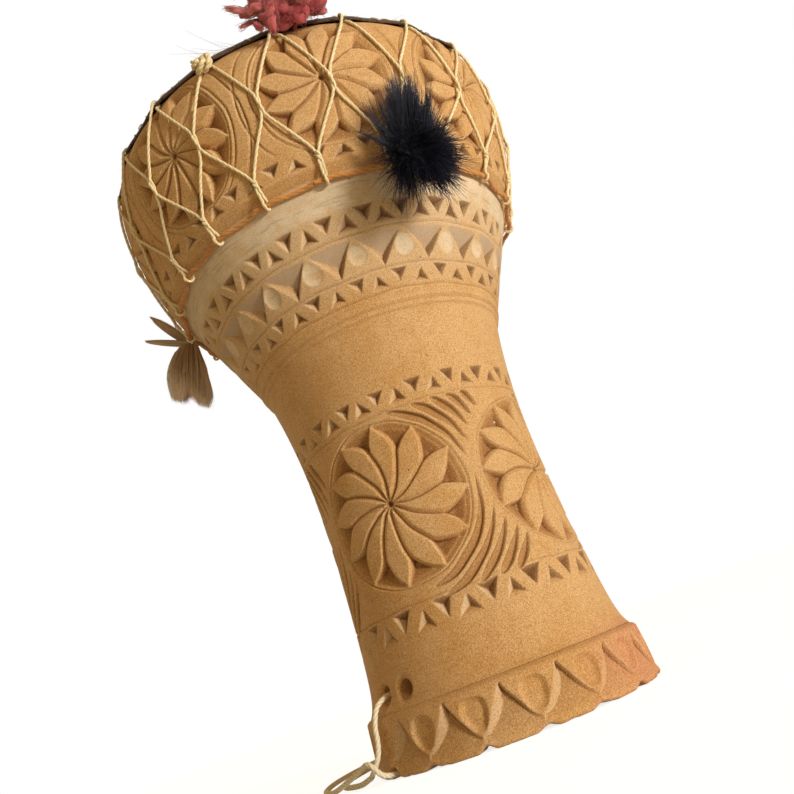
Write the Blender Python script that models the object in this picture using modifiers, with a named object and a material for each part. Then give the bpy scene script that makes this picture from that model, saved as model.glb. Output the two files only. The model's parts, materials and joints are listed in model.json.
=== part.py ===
"""Clay goblet drum with a laced skin head, three tassels and a hanging cord.

Metres, +Z up along the drum's axis, and the foot stands on z = 0. An angle is counted around the
axis from the side that faces the viewer, and grows to the viewer's right.
"""
import math

import bmesh
import bpy
import numpy as np
from mathutils import Matrix, Vector

# Clearance between pieces that touch.
CLEARANCE = 0.0003

# The side that faces the viewer, as an angle from +X.
FRONT = math.radians(-60)

# Turned clay body.
BODY_HEIGHT = 0.2255
WALL = 0.0065
TURNED_STEPS = 48
LIP_STEPS = 6
FOOT_RADIUS = 0.0462
FOOT_WALL = 0.0080
FOOT_BAND_HEIGHT = 0.0160
FOOT_BAND_TAPER = 0.0012
FOOT_EDGE = 0.0007
ANKLE_RADIUS = 0.0416
WAIST_RADIUS = 0.0387
WAIST_DROP = 0.0500
NECK_RADIUS = 0.0438
BEADS = 2
BEAD_PITCH = 0.0022
BEAD_RISE = 0.0007
COLLAR_RADIUS = 0.0637
COLLAR_DEPTH = 0.0414
SHOULDER_RISE = 0.0022
SHOULDER_STEP = 0.0030
BOWL_RADIUS = 0.0758
BOWL_DEPTH = 0.0571
RIM_RADIUS = 0.0672
RIM_DROP = 0.0175

# How fast each curved stretch of the body leaves its straight end.
ANKLE_POWER = 2.0
NECK_POWER = 2.2
BOWL_POWER = 1.75
RIM_POWER = 2.0

# Carved foot band: teeth between sunk triangles, a notch under each tooth.
TEETH = 17
TOOTH_ANGLE = math.radians(-55.2)
NOTCH_RADIUS = 0.0029
TOOTH_SINK = 0.0011
TOOTH_LAND = 0.0035
TOOTH_MARGIN = 0.0015
TOOTH_EDGE = 0.0004
NOTCH_SIDES = 8

# Carved collar: one row of sunk triangles that point down.
TRIANGLES = 21
TRIANGLE_ANGLE = math.radians(-3.5)
TRIANGLE_RISE = 0.0130
TRIANGLE_HEIGHT = 0.0098
TRIANGLE_LAND = 0.0022
TRIANGLE_SINK = 0.0014

# Carved rosettes on the bowl and the stem: a chip is sunk between each two petals. A stem rosette
# has its angle and its drop below the neck.
PETALS = 12
CHIP_WIDTH_SHARE = 0.78
CHIP_RISE_SHARE = 0.30
BOWL_ROSETTES = 8
BOWL_ROSETTE_ANGLE = math.radians(11.4)
BOWL_ROSETTE_SHARE = 0.43
BOWL_PETAL_TURN = math.radians(-14.6)
BOWL_CHIP_SINK = 0.0018
BOWL_CHIP_MARGIN = 0.0071
STEM_ROSETTES = ((math.radians(-20.0), 0.0555), (math.radians(61.5), 0.0576),
                 (math.radians(154.0), 0.0565), (math.radians(247.0), 0.0558))
STEM_ROSETTE_RADIUS = 0.0252
STEM_PETAL_TURN = math.radians(20.5)
STEM_CHIP_SINK = 0.0014
CLIMB_STEPS = 12

# Holes for the hanging cord, above the foot band.
HOLE_DIAMETER = 0.0050
HOLE_RISE = 0.0057
HOLE_SIDES = 12
HOLE_ANGLES = (TOOTH_ANGLE, math.radians(-41.0))

# Skin head and the lap that hangs over the rim.
SKIN = 0.0009
LAP_TOP_ANGLE = math.radians(60)
LAP_DEPTH = 0.0079
LAP_STANDOFF = 0.0024
LAP_FULLNESS = 0.0016
LAP_STEPS = 4

# Lacing: one cord that goes twice round, between the lap and the belly ring.
LACE_DIAMETER = 0.0013
LACES = 19
LACE_START = math.radians(3.7)
LACE_DRIFT = math.radians(3.15)
LACE_SPREAD = 0.0018
LACE_GAP = 0.0005
LACE_SLACK = 0.0001
LACE_HOLE_DIAMETER = 0.0028
LACE_HOLE_SIDES = 6
LACE_HOLE_SHARE = 0.66
LACE_KNOT_NUMBER = -1
CROSSING_SHARE = 0.4766
CROSSING_LENGTH = 0.0045
CROSSING_STEPS = 3
WRAP_START = math.radians(40)
WRAP_END = math.radians(-250)
WRAP_STEPS = 6
KNOT_SIZE = 0.0066
KNOT_POINTS = 24
KNOT_SHARE = 0.5

# Belly ring under the bowl's shoulder.
RING_DIAMETER = 0.0019
RING_POINTS_PER_LACE = 6
RIDE_FLAT = 0.0034
RIDE_END = 0.0078

# Tassels and their thread ties.
TIE_DIAMETER = 0.0010
TIE_STEPS = 12
RIM_TIE_DIAMETER = 0.0007
RIM_TIE_STRIP = 0.0011
TUFT_STEPS = 16
TUFT_RINGS = 10
NAVY_LACE = 1
NAVY_SIZE = (0.0170, 0.0330, 0.0340)
NAVY_LIFT = 0.0045
NAVY_SIDE = 0.0035
RED_ANGLE = math.radians(9.0)
RED_SIZE = (0.0160, 0.0300, 0.0260)
RED_LIFT = 0.0030
TAN_LACE = -5
TAN_SIZE = (0.0250, 0.0200, 0.0130)
TAN_TILT = math.radians(68)

# Hanging cord, as points (radius, distance to the right, height) beside the tooth at TOOTH_ANGLE.
# The hitch goes in at the hole, down inside the foot and out through the notch. The loop joins
# the hitch's two ends and lies on the ground.
CORD_DIAMETER = 0.0022
CORD_STEP = 0.0045
HITCH_ROUTE = (
    (0.0508, -0.0068, 0.0028), (0.0500, -0.0036, 0.0050), (0.0487, -0.0012, 0.0078),
    (0.0479, -0.0003, 0.0112), (0.0474, 0.0, 0.0150), (0.0452, 0.0, 0.0193),
    (0.0415, 0.0, 0.0213), (0.0375, 0.0, 0.0216), (0.0342, 0.0, 0.0207),
    (0.0332, 0.0, 0.0165), (0.0341, 0.0, 0.0085), (0.0348, 0.0, 0.0040),
    (0.0362, 0.0, 0.0018), (0.0385, 0.0, 0.0013), (0.0425, 0.0, 0.0013),
    (0.0470, 0.0, 0.0015),
    (0.0502, 0.0004, 0.0028), (0.0521, -0.0004, 0.0052), (0.0530, -0.0028, 0.0064),
    (0.0534, -0.0062, 0.0056),
)
LOOP_ROUTE = (
    (0.0516, -0.0120, 0.0013), (0.0512, -0.0240, 0.0013), (0.0440, -0.0390, 0.0013),
    (0.0310, -0.0510, 0.0013), (0.0180, -0.0580, 0.0013), (0.0090, -0.0640, 0.0013),
    (0.0100, -0.0700, 0.0013), (0.0170, -0.0702, 0.0013), (0.0300, -0.0640, 0.0013),
    (0.0430, -0.0520, 0.0013), (0.0530, -0.0360, 0.0013), (0.0560, -0.0220, 0.0015),
    (0.0546, -0.0120, 0.0036),
)

# Colour and roughness of each piece.
CLAY = ((0.80, 0.58, 0.33), 0.85)
HIDE = ((0.30, 0.22, 0.15), 0.60)
COTTON = ((0.90, 0.84, 0.68), 0.90)
CANE = ((0.62, 0.42, 0.20), 0.75)
NAVY_FUR = ((0.05, 0.05, 0.11), 0.85)
RED_WOOL = ((0.66, 0.24, 0.26), 0.95)
TAN_FUR = ((0.50, 0.40, 0.29), 0.90)

# Heights and radii that follow from the sizes above.
LIP_RADIUS = WALL / 2
LIP_HEIGHT = BODY_HEIGHT - LIP_RADIUS
BOWL_HEIGHT = BODY_HEIGHT - RIM_DROP
SHOULDER_HEIGHT = BODY_HEIGHT - BOWL_DEPTH
SHOULDER_TOP = SHOULDER_HEIGHT + SHOULDER_RISE
NECK_HEIGHT = SHOULDER_HEIGHT - COLLAR_DEPTH
WAIST_HEIGHT = NECK_HEIGHT - WAIST_DROP
TRIANGLE_LOW = NECK_HEIGHT + TRIANGLE_RISE
TRIANGLE_HIGH = TRIANGLE_LOW + TRIANGLE_HEIGHT
BOWL_ROSETTE_RADIUS = BOWL_ROSETTE_SHARE * (LIP_HEIGHT - SHOULDER_TOP)
LAP_BOTTOM = BODY_HEIGHT - LAP_DEPTH
CROSSING_HEIGHT = SHOULDER_TOP + CROSSING_SHARE * (LAP_BOTTOM - SHOULDER_TOP)
SHOULDER_RADIUS = COLLAR_RADIUS + SHOULDER_STEP
HOLE_HEIGHT = FOOT_BAND_HEIGHT + HOLE_RISE
RING_HEIGHT = SHOULDER_HEIGHT - RING_DIAMETER / 2 - LACE_DIAMETER - CLEARANCE / 2
LACE_OFF = CLEARANCE + LACE_DIAMETER / 2
TWIST_RADIUS = (LACE_DIAMETER + LACE_GAP) / 2 / math.cos(math.pi / CROSSING_STEPS / 2)
WRAP_RADIUS = (RING_DIAMETER / 2 + LACE_OFF) / math.cos((WRAP_START - WRAP_END) / WRAP_STEPS / 2)
WRAP_TOP = SHOULDER_TOP + 1.5 * LACE_DIAMETER
RIM_TIE_RADIUS = math.hypot(RIM_TIE_STRIP / 2, SKIN / 2) + CLEARANCE + RIM_TIE_DIAMETER / 2
RIM_TIE_HOLE_DIAMETER = RIM_TIE_DIAMETER + 2 * CLEARANCE + LACE_SLACK


def remove_everything():
    for thing in list(bpy.data.objects):
        bpy.data.objects.remove(thing, do_unlink=True)


def make_collection(name):
    collection = bpy.data.collections.new(name)
    bpy.context.scene.collection.children.link(collection)
    return collection


def make_material(name, look):
    colour, roughness = look
    material = bpy.data.materials.new(name)
    material.use_nodes = True
    shader = material.node_tree.nodes["Principled BSDF"]
    shader.inputs["Base Color"].default_value = (*colour, 1)
    shader.inputs["Roughness"].default_value = roughness
    shader.inputs["Metallic"].default_value = 0
    return material


def polar(radius, angle, height):
    return Vector((radius * math.cos(FRONT + angle), radius * math.sin(FRONT + angle), height))


def foot_band(z):
    return FOOT_RADIUS - FOOT_BAND_TAPER * z / FOOT_BAND_HEIGHT


def surface(z):
    """Outer radius of the clay at height z."""
    if z < FOOT_BAND_HEIGHT:
        return foot_band(z)
    if z < WAIST_HEIGHT:
        share = (WAIST_HEIGHT - z) / (WAIST_HEIGHT - FOOT_BAND_HEIGHT)
        return WAIST_RADIUS + (ANKLE_RADIUS - WAIST_RADIUS) * share**ANKLE_POWER
    if z < NECK_HEIGHT:
        share = (z - WAIST_HEIGHT) / (NECK_HEIGHT - WAIST_HEIGHT)
        return WAIST_RADIUS + (NECK_RADIUS - WAIST_RADIUS) * share**NECK_POWER
    if z < SHOULDER_HEIGHT:
        share = (z - NECK_HEIGHT) / (SHOULDER_HEIGHT - NECK_HEIGHT)
        return NECK_RADIUS + (COLLAR_RADIUS - NECK_RADIUS) * share
    if z < SHOULDER_TOP:
        return COLLAR_RADIUS + SHOULDER_STEP * (z - SHOULDER_HEIGHT) / SHOULDER_RISE
    if z < BOWL_HEIGHT:
        share = (BOWL_HEIGHT - z) / (BOWL_HEIGHT - SHOULDER_TOP)
        return BOWL_RADIUS - (BOWL_RADIUS - SHOULDER_RADIUS) * share**BOWL_POWER
    share = (z - BOWL_HEIGHT) / (LIP_HEIGHT - BOWL_HEIGHT)
    return BOWL_RADIUS - (BOWL_RADIUS - RIM_RADIUS) * share**RIM_POWER


def heights(low, high, count):
    """Heights that split a stretch into count equal steps, without its upper end."""
    return [low + (high - low) * i / count for i in range(count)]


def body_outline():
    """The clay's section: down its outside from the lip, then up its inside."""
    outside = [(FOOT_RADIUS - FOOT_EDGE, 0), (foot_band(FOOT_EDGE), FOOT_EDGE)]
    outside += [(foot_band(FOOT_BAND_HEIGHT), FOOT_BAND_HEIGHT - FOOT_EDGE)]
    outside += [(surface(FOOT_BAND_HEIGHT + FOOT_EDGE), FOOT_BAND_HEIGHT + FOOT_EDGE)]
    outside += [(surface(z), z) for z in heights(FOOT_BAND_HEIGHT, WAIST_HEIGHT, 3)[1:]]
    outside += [(surface(z), z) for z in heights(WAIST_HEIGHT, NECK_HEIGHT, 4)]
    for bead in range(BEADS):
        low = NECK_HEIGHT + bead * BEAD_PITCH
        middle = low + BEAD_PITCH / 2
        outside += [(surface(low), low), (surface(middle) + BEAD_RISE, middle)]
    collar = NECK_HEIGHT + BEADS * BEAD_PITCH
    outside += [(surface(z), z) for z in heights(collar, SHOULDER_HEIGHT, 2)]
    outside += [(COLLAR_RADIUS, SHOULDER_HEIGHT)]
    outside += [(surface(z), z) for z in heights(SHOULDER_TOP, BOWL_HEIGHT, 4)]
    outside += [(surface(z), z) for z in heights(BOWL_HEIGHT, LIP_HEIGHT, 3)]
    outside += [lip_point(math.pi * i / LIP_STEPS, LIP_RADIUS) for i in range(LIP_STEPS + 1)]
    inside = [(FOOT_RADIUS - FOOT_WALL, 0), (ANKLE_RADIUS - WALL, FOOT_BAND_HEIGHT)]
    inside += [(WAIST_RADIUS - WALL, WAIST_HEIGHT), (NECK_RADIUS - WALL, NECK_HEIGHT)]
    inside += [(COLLAR_RADIUS - WALL, SHOULDER_HEIGHT)]
    inside += [(surface(z) - WALL, z) for z in ((SHOULDER_TOP + BOWL_HEIGHT) / 2, BOWL_HEIGHT)]
    return outside[::-1] + inside


def lip_point(angle, radius):
    """A point round the lip's centre line, from its outer side over the top."""
    centre = RIM_RADIUS - LIP_RADIUS
    return centre + radius * math.cos(angle), LIP_HEIGHT + radius * math.sin(angle)


def lap_point(share, off):
    """A point on the lap's inner face, from the lip down to its edge, moved outward by off."""
    start = Vector(lip_point(LAP_TOP_ANGLE, LIP_RADIUS + CLEARANCE))
    end = Vector((surface(LAP_BOTTOM) + LAP_STANDOFF, LAP_BOTTOM))
    along = Vector((math.sin(LAP_TOP_ANGLE), -math.cos(LAP_TOP_ANGLE)))
    bend = start + along * ((end.x - start.x - LAP_FULLNESS) / along.x)
    here = start * (1 - share) ** 2 + bend * 2 * share * (1 - share) + end * share**2
    run = ((bend - start) * (1 - share) + (end - bend) * share).normalized()
    return here.x - run.y * off, here.y + run.x * off


def skin_outline():
    """The skin's section: outward over the top, down the lap, and back along its inner face."""
    over = [LAP_TOP_ANGLE + (math.pi / 2 - LAP_TOP_ANGLE) * i / 2 for i in (2, 1)]
    shares = [i / LAP_STEPS for i in range(LAP_STEPS + 1)]
    outer = [lip_point(a, LIP_RADIUS + CLEARANCE + SKIN) for a in over]
    outer += [lap_point(share, SKIN) for share in shares]
    inner = [lip_point(a, LIP_RADIUS + CLEARANCE) for a in over]
    inner += [lap_point(share, 0) for share in shares]
    top = BODY_HEIGHT + CLEARANCE
    return [(0, top + SKIN)] + outer + inner[::-1] + [(0, top)]


def turned(name, outline, closed):
    """A turned solid. outline holds (radius, height) and runs down the outer side."""
    mesh = bpy.data.meshes.new(name)
    count = len(outline)
    edges = [(i, i + 1) for i in range(count - 1)]
    if closed:
        edges.append((count - 1, 0))
    mesh.from_pydata([(r, 0, z) for r, z in outline], edges, [])
    thing = bpy.data.objects.new(name, mesh)
    screw = thing.modifiers.new("Turn", "SCREW")
    screw.axis = "Z"
    screw.angle = 2 * math.pi
    screw.steps = TURNED_STEPS
    screw.render_steps = TURNED_STEPS
    screw.use_merge_vertices = True
    screw.merge_threshold = 0.00001
    return thing


def tube(name, points, diameter, cyclic, resolution):
    """A round cord along points."""
    curve = bpy.data.curves.new(name, "CURVE")
    curve.dimensions = "3D"
    curve.bevel_depth = diameter / 2
    curve.bevel_resolution = resolution
    curve.use_fill_caps = True
    spline = curve.splines.new("POLY")
    spline.points.add(len(points) - 1)
    for spot, point in zip(spline.points, points):
        spot.co = (*point, 1)
    spline.use_cyclic_u = cyclic
    return bpy.data.objects.new(name, curve)


def smooth_route(points, step):
    """Points about step apart on a smooth curve through points."""
    chain = [2 * points[0] - points[1]] + points + [2 * points[-1] - points[-2]]
    route = []
    for a, b, c, d in zip(chain, chain[1:], chain[2:], chain[3:]):
        count = max(1, round((c - b).length / step))
        for i in range(count):
            t = i / count
            route.append(0.5 * (2 * b + (c - a) * t + (2 * a - 5 * b + 4 * c - d) * t**2
                                + (3 * b - a - 3 * c + d) * t**3))
    return route + [points[-1]]


def lean(z):
    """Slope of the clay's surface from the vertical, positive where it widens upward."""
    step = 0.0005
    return math.atan2(surface(z + step) - surface(z - step), 2 * step)


def wall_frame(angle, radius, z, slope):
    """A frame on a turned wall: X to the right, Y up the slope, Z outward."""
    turn = Matrix.Rotation(FRONT + angle + math.pi / 2, 4, "Z")
    tilt = Matrix.Rotation(math.pi / 2 + slope, 4, "X")
    return Matrix.Translation(polar(radius, angle, z)) @ turn @ tilt


def lap_frame(angle, share, off):
    """A frame on the lap: X to the right, Y up the lap, Z outward."""
    radius, height = lap_point(share, off)
    rise = lap_point(share, 1)[1] - lap_point(share, 0)[1]
    return wall_frame(angle, radius, height, -math.asin(rise))


def cutter(name, collection, shapes):
    """One hidden mesh of several closed prisms or pyramids. shapes holds (sides, foot, matrix) of
    each, where foot is the radius of its lower end and its upper end has a radius of 1."""
    form = bmesh.new()
    for sides, foot, matrix in shapes:
        bmesh.ops.create_cone(form, cap_ends=True, segments=sides, radius1=foot, radius2=1, depth=2,
                              matrix=matrix)
    mesh = bpy.data.meshes.new(name)
    form.to_mesh(mesh)
    form.free()
    thing = bpy.data.objects.new(name, mesh)
    thing.hide_render = True
    thing.display_type = "WIRE"
    collection.objects.link(thing)
    return thing


def cut(thing, tool):
    boolean = thing.modifiers.new(tool.name, "BOOLEAN")
    boolean.operation = "DIFFERENCE"
    boolean.object = tool
    boolean.solver = "EXACT"


def clay_frame(angle, z, turn):
    """A frame on the clay's surface, turned about its outward axis."""
    return wall_frame(angle, surface(z), z, lean(z)) @ Matrix.Rotation(turn, 4, "Z")


def sunk_triangle(frame, width, rise, sink):
    """A three-sided prism that cuts a triangle with its point towards the frame's Y."""
    centre = Matrix.Translation((0, -rise / 6, 0))
    size = Matrix.Diagonal((width / math.sqrt(3), rise / 1.5, sink, 1))
    return 3, 1, frame @ centre @ size


def sunk_pyramid(frame, width, rise, sink):
    """A three-facet chip, sunk to one point. Its base stands a clearance above the surface."""
    grown = (sink + CLEARANCE) / sink
    centre = Matrix.Translation((0, -rise / 6, (CLEARANCE - sink) / 2))
    size = Matrix.Diagonal((grown * width / math.sqrt(3), grown * rise / 1.5,
                            (sink + CLEARANCE) / 2, 1))
    return 3, 0, frame @ centre @ size


def round_cut(frame, sides, diameter, length):
    return sides, 1, frame @ Matrix.Diagonal((diameter / 2, diameter / 2, length / 2, 1))


def row_cuts(first, count, low, high, width, sink, turn):
    """An even row of sunk triangles between two heights."""
    middle = (low + high) / 2
    rise = (Vector((surface(high), high)) - Vector((surface(low), low))).length
    frames = [clay_frame(first + 2 * math.pi * i / count, middle, turn) for i in range(count)]
    return [sunk_triangle(frame, width, rise, sink) for frame in frames]


def climbed(z, distance):
    """The height that lies a distance up along the clay from height z."""
    for _ in range(CLIMB_STEPS):
        z += distance / CLIMB_STEPS * math.cos(lean(z))
    return z


def rosette_cuts(angle, height, radius, petal_turn, sink, chip, top):
    """A chip between each two petals below the height top, with its point towards the centre."""
    shapes = []
    pitch = 2 * math.pi / PETALS
    width = CHIP_WIDTH_SHARE * 2 * radius * math.sin(pitch / 2)
    rise = CHIP_RISE_SHARE * radius
    far = radius * math.cos(pitch / 2) - rise / 2
    for i in range(PETALS):
        way = petal_turn + (i + 0.5) * pitch
        z = climbed(height, far * math.sin(way))
        frame = clay_frame(angle + far * math.cos(way) / surface(z), z, way + math.pi / 2)
        if z < top:
            shapes.append(chip(frame, width, rise, sink))
    return shapes


def foot_cuts():
    """A sunk triangle between each two teeth and a half-round notch under each tooth."""
    shapes = []
    pitch = 2 * math.pi / TEETH
    width = FOOT_RADIUS * pitch - TOOTH_LAND
    low = NOTCH_RADIUS + TOOTH_EDGE
    high = FOOT_BAND_HEIGHT - TOOTH_MARGIN
    for i in range(TEETH):
        angle = TOOTH_ANGLE + i * pitch
        notch = wall_frame(angle, FOOT_RADIUS - FOOT_WALL / 2, 0, 0)
        shapes.append(round_cut(notch, NOTCH_SIDES, 2 * NOTCH_RADIUS, 3 * FOOT_WALL))
    return shapes + row_cuts(TOOTH_ANGLE + pitch / 2, TEETH, low, high, width, TOOTH_SINK, 0)


def collar_cuts():
    width = surface(TRIANGLE_HIGH) * 2 * math.pi / TRIANGLES - TRIANGLE_LAND
    return row_cuts(TRIANGLE_ANGLE, TRIANGLES, TRIANGLE_LOW, TRIANGLE_HIGH, width, TRIANGLE_SINK,
                    math.pi)


def bowl_cuts():
    shapes = []
    height = (SHOULDER_TOP + LIP_HEIGHT) / 2
    for i in range(BOWL_ROSETTES):
        angle = drifted(BOWL_ROSETTE_ANGLE + 2 * math.pi * i / BOWL_ROSETTES)
        shapes += rosette_cuts(angle, height, BOWL_ROSETTE_RADIUS, BOWL_PETAL_TURN, BOWL_CHIP_SINK,
                               sunk_pyramid, LAP_BOTTOM - BOWL_CHIP_MARGIN)
    return shapes


def stem_cuts():
    shapes = []
    for angle, drop in STEM_ROSETTES:
        shapes += rosette_cuts(angle, NECK_HEIGHT - drop, STEM_ROSETTE_RADIUS, STEM_PETAL_TURN,
                               STEM_CHIP_SINK, sunk_triangle, NECK_HEIGHT)
    return shapes


def cord_hole_cuts():
    middle = surface(HOLE_HEIGHT) - WALL / 2
    frames = [wall_frame(angle, middle, HOLE_HEIGHT, 0) for angle in HOLE_ANGLES]
    return [round_cut(frame, HOLE_SIDES, HOLE_DIAMETER, 3 * WALL) for frame in frames]


def lap_cuts():
    """A hole through the lap for each lacing point, and a small one for the red tassel's tie."""
    frames = [lap_frame(lace_angle(n), LACE_HOLE_SHARE, SKIN / 2) for n in range(LACES)]
    shapes = [round_cut(frame, LACE_HOLE_SIDES, LACE_HOLE_DIAMETER, 3 * SKIN) for frame in frames]
    above_edge = RIM_TIE_STRIP / 2 + RIM_TIE_RADIUS
    frame = lap_frame(RED_ANGLE, lap_share(above_edge), SKIN / 2)
    shapes.append(round_cut(frame, LACE_HOLE_SIDES, RIM_TIE_HOLE_DIAMETER, 3 * SKIN))
    return shapes


def lap_share(distance):
    """The share of the lap that lies a distance above its edge, near that edge."""
    step = 0.01
    run = Vector(lap_point(1, 0)) - Vector(lap_point(1 - step, 0))
    return 1 - distance * step / run.length


def drifted(even):
    """An even angle, moved so that the angles stand a little closer on the viewer's side."""
    return even - LACE_DRIFT * math.sin(even)


def lace_angle(number):
    """Angle of a lacing point."""
    return drifted(LACE_START + number * 2 * math.pi / LACES)


def on_clay(z):
    """Radius of a lacing cord that lies on the clay at height z."""
    return surface(z) + (LACE_OFF + LACE_SLACK) / math.cos(lean(z))


def ring_radius(angle):
    """Radius of the belly ring's centre line, which rides over the cord at each lacing point."""
    slope = math.cos(lean(RING_HEIGHT))
    seated = surface(RING_HEIGHT) + (RING_DIAMETER / 2 + CLEARANCE) / slope
    lifted = surface(RING_HEIGHT) + (WRAP_RADIUS + LACE_OFF) / slope
    away = min(abs(math.remainder(angle - lace_angle(n), 2 * math.pi)) for n in range(LACES))
    share = min(max((RIDE_END - away * seated) / (RIDE_END - RIDE_FLAT), 0), 1)
    return seated + (lifted - seated) * share**2 * (3 - 2 * share)


def ring_points():
    points = []
    for number in range(LACES):
        start = lace_angle(number)
        reach = lace_angle(number + 1) - start
        for i in range(RING_POINTS_PER_LACE):
            angle = start + reach * i / RING_POINTS_PER_LACE
            points.append(polar(ring_radius(angle), angle, RING_HEIGHT))
    return points


def lap_place(angle, side, share, off):
    radius, height = lap_point(share, off)
    return polar(radius, angle + side * LACE_SPREAD / 2 / radius, height)


def rim_turn(number):
    """The cord goes up in front of the lap, in through its hole and down behind the lap."""
    front = SKIN + LACE_OFF
    back = -LACE_OFF
    hole = LACE_HOLE_SHARE
    steps = ((-1.0, 1.0, front), (-0.8, 0.8, front), (-0.3, hole + 0.02, 0.8 * front),
             (0.0, hole - 0.02, SKIN / 2), (0.3, hole + 0.02, 0.7 * back), (0.8, 0.8, back),
             (1.0, 1.0, back))
    return [lap_place(lace_angle(number), *step) for step in steps]


def belly_turn(number):
    """The cord goes down in front of the belly ring, under it and up behind it."""
    angle = lace_angle(number)
    centre = ring_radius(angle)
    half = LACE_SPREAD / 2 / centre
    points = [polar(on_clay(WRAP_TOP), angle - half, WRAP_TOP)]
    for i in range(WRAP_STEPS + 1):
        turn = WRAP_START + (WRAP_END - WRAP_START) * i / WRAP_STEPS
        side = half * (2 * i / WRAP_STEPS - 1)
        height = RING_HEIGHT + WRAP_RADIUS * math.sin(turn)
        points.append(polar(centre + WRAP_RADIUS * math.cos(turn), angle + side, height))
    corner = SHOULDER_RADIUS + 0.7 * LACE_DIAMETER
    points.append(polar(corner, angle + half, SHOULDER_TOP - 0.45 * LACE_DIAMETER))
    points.append(polar(on_clay(WRAP_TOP), angle + half, WRAP_TOP))
    return points


def crossing(angle, down):
    """Half a turn of one strand round the other. The strand that comes down passes in front."""
    sign = 1 if down else -1
    points = []
    for i in range(CROSSING_STEPS + 1):
        turn = math.pi * i / CROSSING_STEPS
        height = CROSSING_HEIGHT + sign * CROSSING_LENGTH * (0.5 - i / CROSSING_STEPS)
        radius = on_clay(height) + TWIST_RADIUS * (1 + sign * math.sin(turn))
        points.append(polar(radius, angle - TWIST_RADIUS * math.cos(turn) / radius, height))
    return points


def on_bowl(start, end, high, low, shares):
    """Points on the way between two angles and two heights, on the bowl's surface."""
    points = []
    for share in shares:
        height = high + (low - high) * share
        points.append(polar(on_clay(height), start + (end - start) * share, height))
    return points


def lacing_points():
    """One cord from under the knot, twice round the bowl, and back to the knot."""
    top = CROSSING_HEIGHT + CROSSING_LENGTH / 2
    bottom = CROSSING_HEIGHT - CROSSING_LENGTH / 2
    points = rim_turn(LACE_KNOT_NUMBER)[3:]
    for step in range(LACES):
        rim = LACE_KNOT_NUMBER + 2 * step
        angles = [lace_angle(rim + i) for i in range(3)]
        first = (angles[0] + angles[1]) / 2
        second = (angles[1] + angles[2]) / 2
        points += on_bowl(angles[0], first, LAP_BOTTOM, top, (0.12, 0.3, 0.55))
        points += crossing(first, True)
        points += on_bowl(first, angles[1], bottom, WRAP_TOP, (0.5,))
        points += belly_turn(rim + 1)
        points += on_bowl(angles[1], second, WRAP_TOP, bottom, (0.5,))
        points += crossing(second, False)
        points += on_bowl(second, angles[2], top, LAP_BOTTOM, (0.6,))
        last = step == LACES - 1
        points += rim_turn(rim + 2)[:1] if last else rim_turn(rim + 2)
    return points


def least_gap(points, diameter):
    """The least gap between stretches of a cord that lie more than four diameters apart along it."""
    step = diameter / 3
    dense = np.array([a.lerp(b, i / count)
                      for a, b in zip(points, points[1:])
                      for count in [max(1, round((b - a).length / step))]
                      for i in range(count)])
    along = np.concatenate([[0], np.cumsum(np.linalg.norm(np.diff(dense, axis=0), axis=1))])
    least = math.inf
    for place, spot in zip(along, dense):
        far = np.abs(along - place) > 4 * diameter
        least = min(least, np.linalg.norm(dense[far] - spot, axis=1).min())
    return least - diameter


def knot_points():
    """A trefoil that lies on the lap, over the hole where the lacing starts and ends."""
    scale = (KNOT_SIZE - LACE_DIAMETER) / 6
    frame = lap_frame(lace_angle(LACE_KNOT_NUMBER), KNOT_SHARE, SKIN + LACE_OFF + scale)
    points = []
    for i in range(KNOT_POINTS):
        t = 2 * math.pi * i / KNOT_POINTS
        ring = 2 + math.cos(3 * t)
        spot = Vector((ring * math.cos(2 * t), ring * math.sin(2 * t), math.sin(3 * t)))
        points.append(frame @ (spot * scale))
    return points


def past_end(end, before):
    """A point just past the end of a cord, in its direction."""
    return end + (end - before).normalized() * CLEARANCE


def hitch_points():
    turn = Matrix.Rotation(FRONT + TOOTH_ANGLE, 4, "Z")
    return smooth_route([turn @ Vector(point) for point in HITCH_ROUTE], CORD_STEP)


def loop_points():
    turn = Matrix.Rotation(FRONT + TOOTH_ANGLE, 4, "Z")
    hitch = hitch_points()
    start = past_end(hitch[0], hitch[1])
    end = past_end(hitch[-1], hitch[-2])
    route = [start] + [turn @ Vector(point) for point in LOOP_ROUTE] + [end]
    return smooth_route(route, CORD_STEP)


def tassel_hinge(name, angle, radius, height):
    """The place where a tassel hangs: X outward, Y to the right along its hinge, Z up."""
    empty = bpy.data.objects.new(name, None)
    empty.location = polar(radius, angle, height)
    empty.rotation_euler = (0, 0, FRONT + angle)
    empty.empty_display_size = 0.005
    return empty


def tie_points(radius):
    """A loop of thread round the hinge's line."""
    turns = [2 * math.pi * i / TIE_STEPS for i in range(TIE_STEPS)]
    wide = radius / math.cos(math.pi / TIE_STEPS)
    return [Vector((wide * math.cos(turn), 0, wide * math.sin(turn))) for turn in turns]


def tuft(name, size, gap, side, lift, tilt):
    """A rounded tuft that starts a gap away from its hinge and leans down by tilt."""
    form = bmesh.new()
    half = [s / 2 for s in size]
    depth = half[0] * math.sqrt(1 - (side / half[1])**2 - (lift / half[2])**2)
    centre = Matrix.Translation((gap + depth, side, lift))
    matrix = Matrix.Rotation(tilt, 4, "Y") @ centre @ Matrix.Diagonal((*half, 1))
    bmesh.ops.create_uvsphere(form, u_segments=TUFT_STEPS, v_segments=TUFT_RINGS, radius=1,
                              matrix=matrix)
    mesh = bpy.data.meshes.new(name)
    form.to_mesh(mesh)
    form.free()
    return bpy.data.objects.new(name, mesh)


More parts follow.
